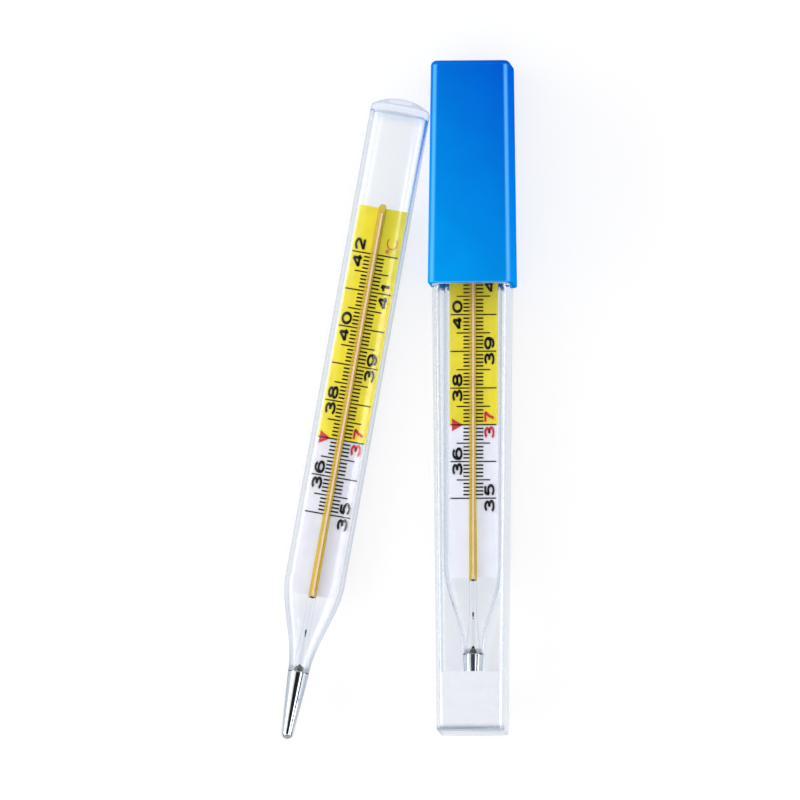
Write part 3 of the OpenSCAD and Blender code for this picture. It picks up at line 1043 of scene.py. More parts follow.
@dataclass
class Thermometer:
    """One thermometer: its glass, its mercury and its scale."""

    prefix: str
    sizes: GlassSizes
    placement: Matrix
    body: Body
    mercury_body: Body
    turn: float
    # Painted shade: tints of the glass at its taper, collar and dome.
    taper_tint: Colour = srgb(246, 248, 252)
    collar_tint: Colour = srgb(206, 209, 215)
    collar_h: float = 1.4 * MM
    dome_tint: Colour = srgb(238, 243, 250)
    # Painted shade: the grey of the glass at grazing angles.
    edge_tint: Colour = srgb(165, 176, 192)
    edge_blur: float = 0.25
    body_ior: float = 1.38
    bulb_ior: float = 1.25
    rod_ior: float = 1.1
    rod_tint: Colour = srgb(255, 250, 228)
    plate_finish: FiredLayer = OPAL
    lip: float = 0.1 * MM
    weld_gap: float = 0.02 * MM
    wetting: float = 0.012 * MM
    shoulder_w: float = 0.12 * MM
    shoulder_h: float = 0.08 * MM
    cone_foot_r: float = 0.9 * MM
    cone_head_r: float = 0.62 * MM
    cone_h: float = 1.1 * MM
    cone_waist: float = 0.6
    spindle_r: float = 0.27 * MM
    spindle_h: float = 0.8 * MM
    spindle_sunk: float = 0.55
    spindle_power: float = 0.7
    # Painted shade: size and spread of the dark arcs at the weld's sides.
    seam_w: float = 0.75 * MM
    seam_h: float = 0.32 * MM
    seam_turn: float = 34.0
    hair_d: float = 0.025 * MM
    drop_drop: float = 0.5 * MM
    enamel_right: float = 0.4 * MM
    enamel_crease: float = 40.0
    funnel_len: float = 1.6 * MM
    funnel_swell: float = 2.0
    lining_t: float = 0.02 * MM
    mouth_r: float = 0.28 * MM
    mouth_rise: float = 0.17 * MM
    trace_left: float = 0.5 * MM
    trace_right: float = 0.2 * MM
    trace_w: float = 0.12 * MM
    digit_h: float = 2.0 * MM
    digit_w: float = 2.43 * MM
    four_w: float = 2.68 * MM
    one_w: float = 1.63 * MM
    digit_gap: float = 0.3 * MM
    nib: Span = (0.56 * MM, 0.41 * MM)
    fine_nib: Span = (0.15 * MM, 0.15 * MM)
    ring_d: float = 0.66 * MM
    ring_gap: float = 0.58 * MM
    sign_gap: float = 1.33 * MM
    sign_w: float = 2.4 * MM
    sign_shift: float = 0.22 * MM
    left_margin: float = 0.6 * MM
    right_margin: float = 0.78 * MM
    print_t: float = 0.05 * MM

    def glass(self, name: str, slot: Slot, **looks: object) -> ClearBody:
        """Gives a clear finish for a slot, whose drawn lines follow this thermometer's tilt."""
        return ClearBody(f"{self.prefix}_{name}", slot, turn=self.turn, **looks)

    def lay(self, mesh: Mesh, finish: Finish, *replaced: str) -> None:
        """Lays a standing mesh in this thermometer's place.

        Args:
            mesh: The mesh, named without the thermometer's own prefix.
            finish: The finish.
            replaced: Kinds of CAD node that it stands for.
        """
        self.shift(mesh)
        seat(mesh, finish, self.body, *(f"{self.prefix}_{kind}" for kind in replaced))

    def shift(self, mesh: Mesh) -> None:
        """Names a mesh after this thermometer and brings it to its place."""
        mesh.name = f"{self.prefix}_{mesh.name}"
        mesh.transform(self.placement)

    def on_axis(self, height: float) -> Vector:
        """Gives the point on this thermometer's axis at a height."""
        return self.placement @ Vector((0, 0, height))

    def build(self) -> None:
        """Builds and dresses all pieces."""
        self.build_envelope()
        self.build_bulb()
        self.build_weld()
        self.build_stem()
        self.build_capillary()
        self.build_enamel()
        self.build_traces()
        self.build_bore()
        self.build_thread()
        self.dress_scale()
        self.print_numerals()

    def build_envelope(self) -> None:
        """Builds the hollow flattened body, with a rounded lip at the neck and a thick domed end."""
        s = self.sizes
        heights = spread(s.weld + self.lip, s.weld + s.taper, 36)
        lip = []
        for a in spread(0.0, math.pi, 8):
            ring = s.section(s.weld + self.lip, s.wall * (1 - math.cos(a)) / 2)
            lip.append([p - Vector((0, 0, (self.lip - self.weld_gap) * math.sin(a))) for p in ring])
        inner = [s.section(z, s.wall) for z in heights]
        inner += s.dome(s.wall, s.top - s.dome_wall, s.hollow_rise, s.hollow_edge)
        outer = [s.section(z, 0.0) for z in heights] + s.dome(0.0, s.top, s.dome_rise, s.dome_edge)
        # Painted shade bands at the taper, the collar and the dome.
        bands = (self.band(s.weld + s.taper / 2, s.weld + s.taper, self.taper_tint),
                 self.band(s.weld + self.collar_h / 4, s.weld + self.collar_h, self.collar_tint),
                 self.band(s.top - s.dome_wall, s.top - 2 * s.dome_wall, self.dome_tint))
        clear = self.glass("clear_glass", Slot.BODY_GLASS, bands=bands, edge_tint=self.edge_tint,
                           edge_blur=self.edge_blur, ior=self.body_ior)
        self.lay(skin("body_glass", [*reversed(outer), *lip[1:-1], *inner]), clear, "envelope")

    def band(self, full: float, gone: float, tint: Colour) -> Band:
        """Gives a painted shade tint that fades along the stem from one height to another."""
        return Band(tuple(self.on_axis(full).xy), tuple(self.on_axis(gone).xy), tint)

    def bulb_profile(self, inset: float, top: float) -> Profile:
        """Gives the bulb's profile from the tip to a height.

        Args:
            inset: How far inside the outer face.
            top: Height where it ends.

        Returns:
            The profile.
        """
        s = self.sizes
        tip_r = s.tip_d / 2
        round_tip = arc((0.0, tip_r), tip_r - inset, -90, 0, 12)
        return [*round_tip, *((s.bulb_radius(z) - inset, z) for z in spread(tip_r, top, 4)[1:])]

    def build_bulb(self) -> None:
        """Builds the glass bulb and the mercury that fills it."""
        s = self.sizes
        top = s.weld - self.weld_gap
        level = top - self.lip
        lip_r = s.bulb_wall / 2
        rim = arc((s.bulb_radius(top) - lip_r, level), lip_r, 0, 180, 6, self.lip)
        inner = self.bulb_profile(s.bulb_wall, level)
        shell = [*self.bulb_profile(0.0, level), *rim[1:-1], *reversed(inner)]
        clear = self.glass("bulb_glass", Slot.BULB_GLASS, ior=self.bulb_ior, edge_blur=0.0)
        self.lay(lathe("bulb_shell", shell), clear, "bulb_glass")
        fill = self.bulb_profile(s.bulb_wall - self.wetting, level)
        shoulder = [(fill[-1][0] - self.shoulder_w, level + self.shoulder_h),
                    (self.cone_foot_r, self.cone_level), (0.0, self.cone_level)]
        self.lay(lathe("mercury_bulb", [*fill, *shoulder]), MERCURY, "mercury_reservoir")

    @property
    def cone_level(self) -> float:
        """Height where the mercury's cone begins."""
        return self.sizes.weld + self.weld_gap

    def build_weld(self) -> None:
        """Builds the cone and the spindle that feed the bore, in mercury painted dim and near black as
        painted shade, and dark arcs of painted shade at the weld's sides.
        """
        s = self.sizes
        top = self.cone_level + self.cone_h
        waist = ((self.cone_foot_r + self.cone_head_r) / 2, self.cone_level + self.cone_h * self.cone_waist)
        cone = [(0.0, self.cone_level), (self.cone_foot_r, self.cone_level), waist,
                (self.cone_head_r, top), (0.0, top + self.lip)]
        # Painted shade: the cone is dimmed mercury.
        self.lay(lathe("mercury_cone", cone), HALF_SHADED_MERCURY)

        foot = top - self.spindle_h * self.spindle_sunk
        sides = [(self.spindle_r * math.sin(math.pi * t) ** self.spindle_power, foot + self.spindle_h * t)
                 for t in spread(0.0, 1.0, 12)[1:-1]]
        spindle = [(0.0, foot), *sides, (0.0, foot + self.spindle_h)]
        # Painted shade: the spindle is near-black mercury.
        self.lay(lathe("mercury_spindle", spindle, sides=24), SHADED_MERCURY)

        # Painted shade: two dark arcs at the weld's sides.
        middle = s.bulb_radius(s.weld) - self.seam_w / 2
        section = arc((middle, s.weld), self.seam_w / 2, 0, 360, 12, self.seam_h / 2)[:-1]
        shade_arcs = bmesh.new()
        for side in (0.0, 180.0):
            turns = [math.radians(side + a) for a in spread(-self.seam_turn, self.seam_turn, 10)]
            weave(shade_arcs, [[Vector((r * math.cos(a), r * math.sin(a), z)) for r, z in section]
                         for a in turns])
        self.lay(close_up(shade_arcs, "weld_shade_arcs", SOFT_CREASE), SHADED_MERCURY)

    def build_stem(self) -> None:
        """Builds the clear stem with its pinched bore."""
        s = self.sizes
        pinch = s.thread_top
        bore = s.bore_d / 2
        rod = s.capillary_d / 2
        foot = s.stem_foot_d / 2
        outer = [(foot - (foot - rod) * soft_step(t), s.weld + (pinch - s.weld) * t)
                 for t in spread(0.0, 1.0, 12)]
        wave = [(bore - (bore - s.pinch_d / 2) * math.sin(math.pi * t), pinch + s.pinch_len * t)
                for t in spread(1.0, 0.0, 8)]
        profile = [(foot - s.foot_rim, s.weld), *outer, (rod, s.stem_top - self.lip),
                   (rod - self.lip, s.stem_top), (bore, s.stem_top), *wave, (bore, s.cone_top),
                   (foot - s.foot_rim, s.weld)]
        clear = self.glass("stem_glass", Slot.STEM_GLASS, ior=self.rod_ior)
        self.lay(lathe("stem", profile, sides=40), clear, "neck_stem")

    def build_capillary(self) -> None:
        """Builds the clear front of the capillary, with a flat back and a funnel at the bore's foot."""
        s = self.sizes
        rod = s.capillary_d / 2
        bore = s.bore_d / 2
        edge = math.asin(s.backing_depth / rod)
        flat = spread(edge, math.pi - edge, 10)
        turns = [*flat, *spread(math.pi - edge, math.tau + edge, 44)[1:-1]]
        reach = [s.backing_depth / math.sin(a) for a in flat] + [rod] * (len(turns) - len(flat))
        funnel = [min(self.funnel_swell * bore, r - self.lining_t) for r in reach]
        bore_end = s.capillary_top - s.capillary_d
        top = s.capillary_top - rod
        straight = [bore] * len(turns)
        levels = [([0.0] * len(turns), bore_end), (straight, bore_end - bore),
                  (straight, s.stem_top + self.funnel_len), (funnel, s.stem_top), (reach, s.stem_top)]
        levels += [([min(r, rod * math.cos(a)) for r in reach], top + rod * math.sin(a))
                   for a in spread(0.0, QUARTER, 8)]
        mesh = skin("capillary_front", [polar(radii, turns, z) for radii, z in levels])
        clear = self.glass("capillary_glass", Slot.CAPILLARY_GLASS, tint=self.rod_tint, ior=self.rod_ior)
        self.lay(mesh, clear, "capillary_tube")

    def build_enamel(self) -> None:
        """Builds the enamel on the capillary's back, narrower on the right along the scale."""
        s = self.sizes
        rod = s.capillary_d / 2
        scale_foot = s.mark(FIRST_DEGREE)
        levels = [(z, rod) for z in [*spread(s.stem_top, scale_foot, 8), s.capillary_top - rod]]
        levels += [(s.capillary_top - rod + rod * math.sin(a), rod * math.cos(a))
                   for a in spread(0.0, math.acos(s.backing_depth / rod), 8)[1:]]
        front = s.backing_depth + self.lining_t
        rings = []
        for z, radius in levels:
            chord = math.sqrt(max(radius * radius - front * front, 0.0))
            share = soft_step((scale_foot - z) / (scale_foot - s.stem_top))
            right = min(self.enamel_right + (rod - self.enamel_right) * share, chord)
            across = spread(-chord, right, 12)
            back = [Vector((x, math.sqrt(max(radius * radius - x * x, front * front)), z)) for x in across]
            rings.append([Vector((x, front, z)) for x in across] + back[::-1])
        self.lay(skin("enamel_back", rings, self.enamel_crease), ENAMEL, "capillary_backing")

    def build_traces(self) -> None:
        """Builds dark marks of painted shade for the lines, as they show through the capillary on its
        enamel.
        """
        s = self.sizes
        back = s.backing_depth - self.lining_t
        front = back - self.lining_t
        corners = ((-self.trace_left, back), (-self.trace_right, back),
                   (-self.trace_right, front), (-self.trace_left, front))
        traces = bmesh.new()
        for tenth in range(10 * (LAST_DEGREE - FIRST_DEGREE) + 1):
            z = s.mark(FIRST_DEGREE + tenth / 10)
            levels = (z - self.trace_w / 2, z + self.trace_w / 2)
            weave(traces, [[Vector((x, y, level)) for x, y in corners] for level in levels])
        self.lay(close_up(traces, "tick_shade_marks"), TICK_SHADE)

    def build_bore(self) -> None:
        """Builds a pale lining on the bore's back as a painted highlight, which opens at the foot, and a
        dark ring of painted shade at the bore's mouth.
        """
        s = self.sizes
        bore = s.bore_d / 2 - self.lining_t / 4
        wide = self.funnel_swell * bore
        levels = ((s.stem_top + 2 * self.lip, wide, min(wide, s.backing_depth - self.lining_t)),
                  (s.stem_top + self.funnel_len, bore, bore),
                  (s.capillary_top - s.capillary_d - bore, bore, bore))
        turns = spread(0.0, math.pi, 12)
        rings = []
        for z, out, deep in levels:
            outer = [Vector((out * math.cos(a), deep * math.sin(a), z)) for a in turns]
            inner = [Vector((p.x * (1 - self.lining_t / out), p.y - self.lining_t * math.sin(a), z))
                     for p, a in zip(outer, turns)]
            rings.append(outer + inner[::-1])
        # Painted highlight: the pale lining along the bore.
        self.lay(skin("bore_glint_lining", rings, SOFT_CREASE), BORE_GLINT)
        # Painted shade: the dark ring at the bore's mouth.
        ring = arc((self.mouth_r, s.stem_top + self.lip), self.lip, 0, 360, 16, self.mouth_rise)
        ring[-1] = ring[0]
        self.lay(lathe("shade_mouth_ring", ring, sides=32, crease=SOFT_CREASE), SHADED_MERCURY)

    def build_thread(self) -> None:
        """Builds the mercury thread: a hair, and a bead under the pinch that draws out as it rises."""
        s = self.sizes
        bead = s.thread_d / 2
        foot = s.thread_top - s.bead_len
        head = s.thread_top - bead
        hair_r = self.hair_d / 2
        drop = foot - self.drop_drop - bead
        hair = [(0.0, s.thread_foot), (hair_r, s.thread_foot), (hair_r, drop)]
        hair += [(hair_r + (bead - hair_r) * math.sin(math.pi * t), drop + 2 * bead * t)
                 for t in spread(0.0, 1.0, 8)[1:]]
        column = [(bead, z) for z in spread(foot, head, 10)]
        cap = arc((0.0, head), bead, 0, 90, 5)
        mesh = lathe("mercury_column", [*hair, *column, *cap[1:]], sides=24)
        self.shift(mesh)
        # The thread is painted near black, as painted shade.
        piece = piece_of(mesh, SHADED_MERCURY)
        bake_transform(piece)
        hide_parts(f"{self.prefix}_mercury_thread")
        LOG.info("piece %s draws out from %s to %s", piece.name, self.body.value, self.mercury_body.value)

    def dress_scale(self) -> None:
        """Dresses the plate and the prints that keep their CAD shape."""
        dress(f"{self.prefix}_scale_plate", self.plate_finish)
        dress(f"{self.prefix}_fever_band", YELLOW_INK)
        dress(f"{self.prefix}_graduations", BLACK_INK)
        dress(f"{self.prefix}_fever_pointer", RED_INK)

    def draw(self, shape: bmesh.types.BMesh, character: str, left: float, start: float, size: Span,
             nib: Span) -> None:
        """Draws one character that reads up the stem, with its top to the left.

        Args:
            shape: The shape that the pen strokes go into.
            character: The character.
            left: Where its top stands across the stem.
            start: Height on the stem where it starts.
            size: Its width along the stem and its height across it.
            nib: Width of the pen's nib along the stem and across it.
        """
        back = self.sizes.print_depth
        front = back - self.print_t
        along, across = nib[0] / 2, nib[1] / 2
        for stroke in PEN_STROKES[character]:
            looped = (Vector(stroke[0]) - Vector(stroke[-1])).length < MERGE
            path = [Vector((left + across + (size[1] - nib[1]) * (1 - v),
                            start + along + (size[0] - nib[0]) * u))
                    for u, v in (stroke[:-1] if looped else stroke)]
            rings = []
            for i, point in enumerate(path):
                before = path[i - 1] if looped or i else point
                after = path[(i + 1) % len(path)] if looped or i + 1 < len(path) else point
                run = (after - before).normalized()
                side = Vector((run.y * across, -run.x * along))
                reach = Vector((side.x * across, side.y * along)) / side.length
                corners = ((point - reach, back), (point + reach, back),
                           (point + reach, front), (point - reach, front))
                rings.append([Vector((corner.x, depth, corner.y)) for corner, depth in corners])
            weave(shape, rings, looped)

    def print_numerals(self) -> None:
        """Prints the numerals, one digit below and one above each line, and the scale's sign.

        Even degrees stand on the left.
        """
        s = self.sizes
        shapes = {ink: bmesh.new() for ink in Ink}
        left = {Column.LEFT: s.plate_left + self.left_margin,
                Column.RIGHT: s.plate_right - self.right_margin - self.digit_h}
        widths = {"1": self.one_w, "4": self.four_w}
        for degrees in range(FIRST_DEGREE, LAST_DEGREE + 1):
            x = left[Column.RIGHT if degrees % 2 else Column.LEFT]
            shape = shapes[Ink.RED if degrees == FEVER_DEGREE else Ink.BLACK]
            z = s.mark(degrees)
            below, above = ((digit, widths.get(digit, self.digit_w)) for digit in str(degrees))
            starts = (z - self.digit_gap - below[1], z + self.digit_gap)
            for (digit, width), start in zip((below, above), starts):
                self.draw(shape, digit, x, start, (width, self.digit_h), self.nib)
        x = left[Column.RIGHT] - self.sign_shift
        z = s.mark(LAST_DEGREE)
        self.draw(shapes[Ink.RED], "o", x, z + self.ring_gap, (self.ring_d, self.ring_d), self.fine_nib)
        self.draw(shapes[Ink.RED], "C", x, z + self.sign_gap, (self.sign_w, self.digit_h), self.fine_nib)
        for ink, shape in shapes.items():
            finish = BLACK_INK if ink is Ink.BLACK else RED_INK
            self.lay(close_up(shape, f"{ink.value}_numerals"), finish)


@dataclass
class Case:
    """The clear tube, its cap and the foam pad in its toe."""

    low: Vector
    high: Vector
    rim: float
    cap_low: Vector
    cap_high: Vector
    pad_low: Vector
    pad_high: Vector
    bulb_axis: Vector
    bulb_d: float
    toe_draft: float = 1.7 * MM
    wall: float = 0.75 * MM
    corner: float = 1.4 * MM
    toe_wall: float = 0.8 * MM
    toe_edge: float = 0.5 * MM
    spigot_step: float = 0.3 * MM
    spigot_back: float = 1.1 * MM
    ramp: float = 1.4 * MM
    lip: float = 0.18 * MM
    cap_draft: float = 1.2 * MM
    cap_wall: float = 0.95 * MM
    cap_end: float = 0.8 * MM
    cap_corner: float = 1.7 * MM
    cap_edge: float = 1.0 * MM
    cap_lip: float = 0.28 * MM
    # Painted shade: a grey tint at the tube's toe.
    toe_tint: Colour = srgb(170, 179, 194)
    # Painted shade: how steeply the cap's blue darkens across and along it.
    tone_across: float = 0.35
    tone_along: float = 0.7
    pad_fit: float = 0.1 * MM
    pad_floor: float = 1.1 * MM
    pad_soft: float = 0.9 * MM
    pad_side: float = 0.63 * MM
    pad_start: float = 0.85
    pad_dent: float = 0.35 * MM
    crown_reach: float = 0.93
    crown_rate: float = 0.7
    bulb_fit: float = 0.3 * MM
    hole_foot: float = 0.8
    hole_edge: float = 0.4 * MM
    hole_mouth: float = 0.5 * MM
    hole_start: float = 0.2
    cell_depth: float = 0.06 * MM
    cell_size: float = 0.9 * MM
    least_corner: float = 0.25 * MM
    corner_steps: int = 12

    @classmethod
    def from_frame(cls, sizes: GlassSizes) -> "Case":
        """Reads the case's places from the frame.

        Args:
            sizes: Sizes of the thermometer in the case.

        Returns:
            The case.
        """
        low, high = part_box("case_tube")
        cap_low, cap_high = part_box("case_cap")
        pad_low, pad_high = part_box("bulb_pad")
        return cls(low, high, cap_low.y, cap_low, cap_high, pad_low, pad_high, sizes.axis, sizes.neck_d)

    def ring(self, y: float, width: float, back: float, front: float, corner: float,
             inset: float = 0.0) -> Ring:
        """Gives a rounded rectangle across the case.

        Args:
            y: Place along the case.
            width: Outer width.
            back: Height of the back.
            front: Height of the front.
            corner: Radius of the outer corners.
            inset: How far the ring is drawn in all round.

        Returns:
            The ring's points.
        """
        r = max(corner - inset, self.least_corner)
        half = width / 2 - inset - r
        points = []
        for quarter in range(4):
            x = half if quarter < 2 else -half
            z = front - inset - r if quarter in (0, 3) else back + inset + r
            for a in spread(QUARTER * quarter, QUARTER * (quarter + 1), self.corner_steps):
                points.append(Vector((x + r * math.sin(a), y, z + r * math.cos(a))))
        return points

    def tube_ring(self, y: float, inset: float) -> Ring:
        """Gives a ring of the tube's body, which narrows towards the toe.

        Args:
            y: Place along the case.
            inset: How far inside the outer face.

        Returns:
            The ring.
        """
        share = (y - self.low.y) / (self.rim - self.low.y)
        width = self.high.x - self.low.x - self.toe_draft * (1 - share)
        return self.ring(y, width, self.low.z, self.high.z, self.corner, inset)

    def cap_fall(self, y: float) -> float:
        """Gives how far the cap has narrowed at a place."""
        return self.cap_draft * (y - self.rim) / (self.cap_high.y - self.rim)

    def spigot_ring(self, y: float, inset: float) -> Ring:
        """Gives a ring of the stepped mouth, which follows the cap's draft.

        Args:
            y: Place along the case.
            inset: How far inside the outer face.

        Returns:
            The ring.
        """
        fall = self.cap_fall(y)
        width = self.high.x - self.low.x - 2 * self.spigot_step - fall
        front = self.high.z - self.spigot_step - fall / 2
        return self.ring(y, width, self.low.z + self.spigot_back, front, self.corner, inset)

    def cap_ring(self, y: float, inset: float) -> Ring:
        """Gives a ring of the cap, which narrows towards its closed end.

        Args:
            y: Place along the case.
            inset: How far inside the outer face.

        Returns:
            The ring.
        """
        fall = self.cap_fall(y)
        width = self.cap_high.x - self.cap_low.x - fall
        return self.ring(y, width, self.cap_low.z, self.cap_high.z - fall / 2, self.cap_corner, inset)

    def pad_ring(self, y: float, inset: float = 0.0) -> Ring:
        """Gives a ring of the pad's side, which follows the inside of the tube."""
        return self.tube_ring(y, self.wall + self.pad_fit + inset)

    def hole_ring(self, y: float, radius: float) -> Ring:
        """Gives a ring round the bulb's axis, with its points in line with those of the pad's side."""
        centre = Vector((self.bulb_axis.x, y, self.bulb_axis.z))
        return [centre + radius * (p - centre).normalized() for p in self.pad_ring(y)]

    @staticmethod
    def rounding(ring: Callable[[float, float], Ring], y: float, along: float, inset: float, inward: float,
                 turns: Sequence[float]) -> list[Ring]:
        """Gives the rings of a rounded edge.

        Args:
            ring: What gives a ring at a place and an inset.
            y: Place of the end face.
            along: How far the rounding reaches from the end face along the case.
            inset: Inset of the side.
            inward: How far the rounding reaches from the side over the end face.
            turns: Angles of the rings, 0 at the side and a quarter turn at the end face.

        Returns:
            The rings.
        """
        return [ring(y + along * (1 - math.sin(a)), inset + inward * (1 - math.cos(a))) for a in turns]

    def build(self) -> None:
        """Builds and dresses the three pieces."""
        self.build_tube()
        self.build_cap()
        self.build_pad()

    def build_tube(self) -> None:
        """Builds the clear tube with rounded edges and a stepped mouth."""
        to_end = spread(0.0, QUARTER, 4)
        floor = self.low.y + self.toe_wall
        toe = self.rounding(self.tube_ring, self.low.y, self.toe_edge, 0.0, self.toe_edge,
                            spread(QUARTER, 0.0, 6))
        shoulder = self.rounding(self.tube_ring, self.rim, -self.lip, 0.0, self.lip, to_end)
        mouth = self.rounding(self.spigot_ring, self.high.y, -self.lip, 0.0, self.lip, to_end)
        mouth += self.rounding(self.spigot_ring, self.high.y, -self.lip, self.wall, -self.lip, to_end[::-1])
        inside = [self.spigot_ring(self.rim, self.wall), self.tube_ring(self.rim - self.ramp, self.wall)]
        inside += self.rounding(self.tube_ring, floor, self.lip, self.wall, self.lip, to_end)
        mesh = skin("clear_tube", [*toe, *shoulder, self.spigot_ring(self.rim, 0.0), *mouth, *inside])
        axis = self.bulb_axis.x
        # Painted shade band at the toe.
        toe_shade_band = Band((axis, self.low.y + self.toe_edge / 2), (axis, self.low.y + 2 * self.toe_wall),
                        self.toe_tint)
        seat(mesh, replace(CASE_PLASTIC, bands=(toe_shade_band,)), Body.CASE, "case_tube")

    def build_cap(self) -> None:
        """Builds the cap with a soft closed end and a rounded rim."""
        inside = self.rounding(self.cap_ring, self.cap_high.y - self.cap_end, -self.cap_lip, self.cap_wall,
                               self.cap_lip, spread(QUARTER, 0.0, 4))
        inside.append(self.cap_ring(self.rim, self.cap_wall))
        rim = self.rounding(self.cap_ring, self.rim, self.cap_lip, 0.0, self.cap_lip,
                            spread(QUARTER, 0.0, 5))
        end = self.rounding(self.cap_ring, self.cap_high.y, -self.cap_edge, 0.0, self.cap_edge,
                            spread(0.0, QUARTER, 8))
        # The slope of the cap's painted shade.
        size = self.cap_high - self.cap_low
        slope = Vector((self.tone_across / size.x, self.tone_along / size.y))
        start = self.cap_low.xy
        blue = MouldedPlastic("blue_plastic", Slot.BLUE_PLASTIC, start=tuple(start),
                              end=tuple(start + slope / slope.length_squared))
        seat(skin("blue_cap", [*inside, *rim, *end]), blue, Body.CAP, "case_cap")

    def build_pad(self) -> None:
        """Builds the foam pad with a crowned end, soft edges and a hole for the bulb."""
        hole_r = self.bulb_d / 2 + self.bulb_fit
        floor = self.pad_low.y + self.pad_floor
        level = self.pad_high.y - self.pad_dent
        bottom, top = self.pad_low.y + self.pad_soft, self.pad_high.y - self.pad_soft
        rings = [self.hole_ring(floor, 0.0), self.hole_ring(floor, hole_r * self.hole_foot),
                 self.hole_ring(floor + self.hole_edge, hole_r),
                 self.hole_ring(level - self.hole_mouth, hole_r)]
        rings += self.rounding(self.hole_ring, level, -self.hole_mouth, hole_r, self.hole_mouth,
                               spread(self.hole_start, QUARTER, 4))
        inner, outer = self.hole_ring(level, hole_r + self.hole_mouth), self.pad_ring(top)
        for share in spread(0.0, 1.0, 6)[1:-1]:
            crown = level + self.pad_dent * math.sin(min(math.pi * share * self.crown_rate, QUARTER))
            reach = share * self.crown_reach
            rings.append([Vector((a.x + (b.x - a.x) * reach, crown, a.z + (b.z - a.z) * reach))
                          for a, b in zip(inner, outer)])
        rings += self.rounding(self.pad_ring, self.pad_high.y, -self.pad_soft, 0.0, self.pad_side,
                               spread(QUARTER * self.pad_start, 0.0, 6))
        rings += [self.pad_ring(y) for y in spread(top, bottom, 10)[1:-1]]
        rings += self.rounding(self.pad_ring, self.pad_low.y, self.pad_soft, 0.0, self.pad_side,
                               spread(0.0, QUARTER, 6))
        pad = seat(skin("foam_pad", rings, SOFT_CREASE), FOAM, Body.CASE, "bulb_pad")
        for v in pad.data.vertices:
            v.co -= v.normal * self.cell_depth * abs(noise.noise(v.co / self.cell_size))


def looking(place: Vector, back: Vector) -> Matrix:
    """Gives the matrix of a camera or lamp at a place, with its back in a direction and Y up its picture.

    Args:
        place: Where it stands.
        back: The direction of its back, of length 1.

    Returns:
        The matrix.
    """
    side = Vector((0, 1, 0)).cross(back).normalized()
    turn = Matrix((side, back.cross(side), back)).transposed().to_4x4()
    return Matrix.Translation(place) @ turn


@dataclass(frozen=True)
class Panel:
    """A long lamp beside the set, with its place from the set's middle, its size and its power in watts."""

    name: str
    right: float
    up: float
    height: float
    length: float
    power: float


PANELS = (Panel("left_panel", right=-0.5, up=0.17, height=0.2, length=0.9, power=2.2),
          Panel("right_panel", right=0.5, up=0.06, height=0.08, length=0.9, power=1.2))


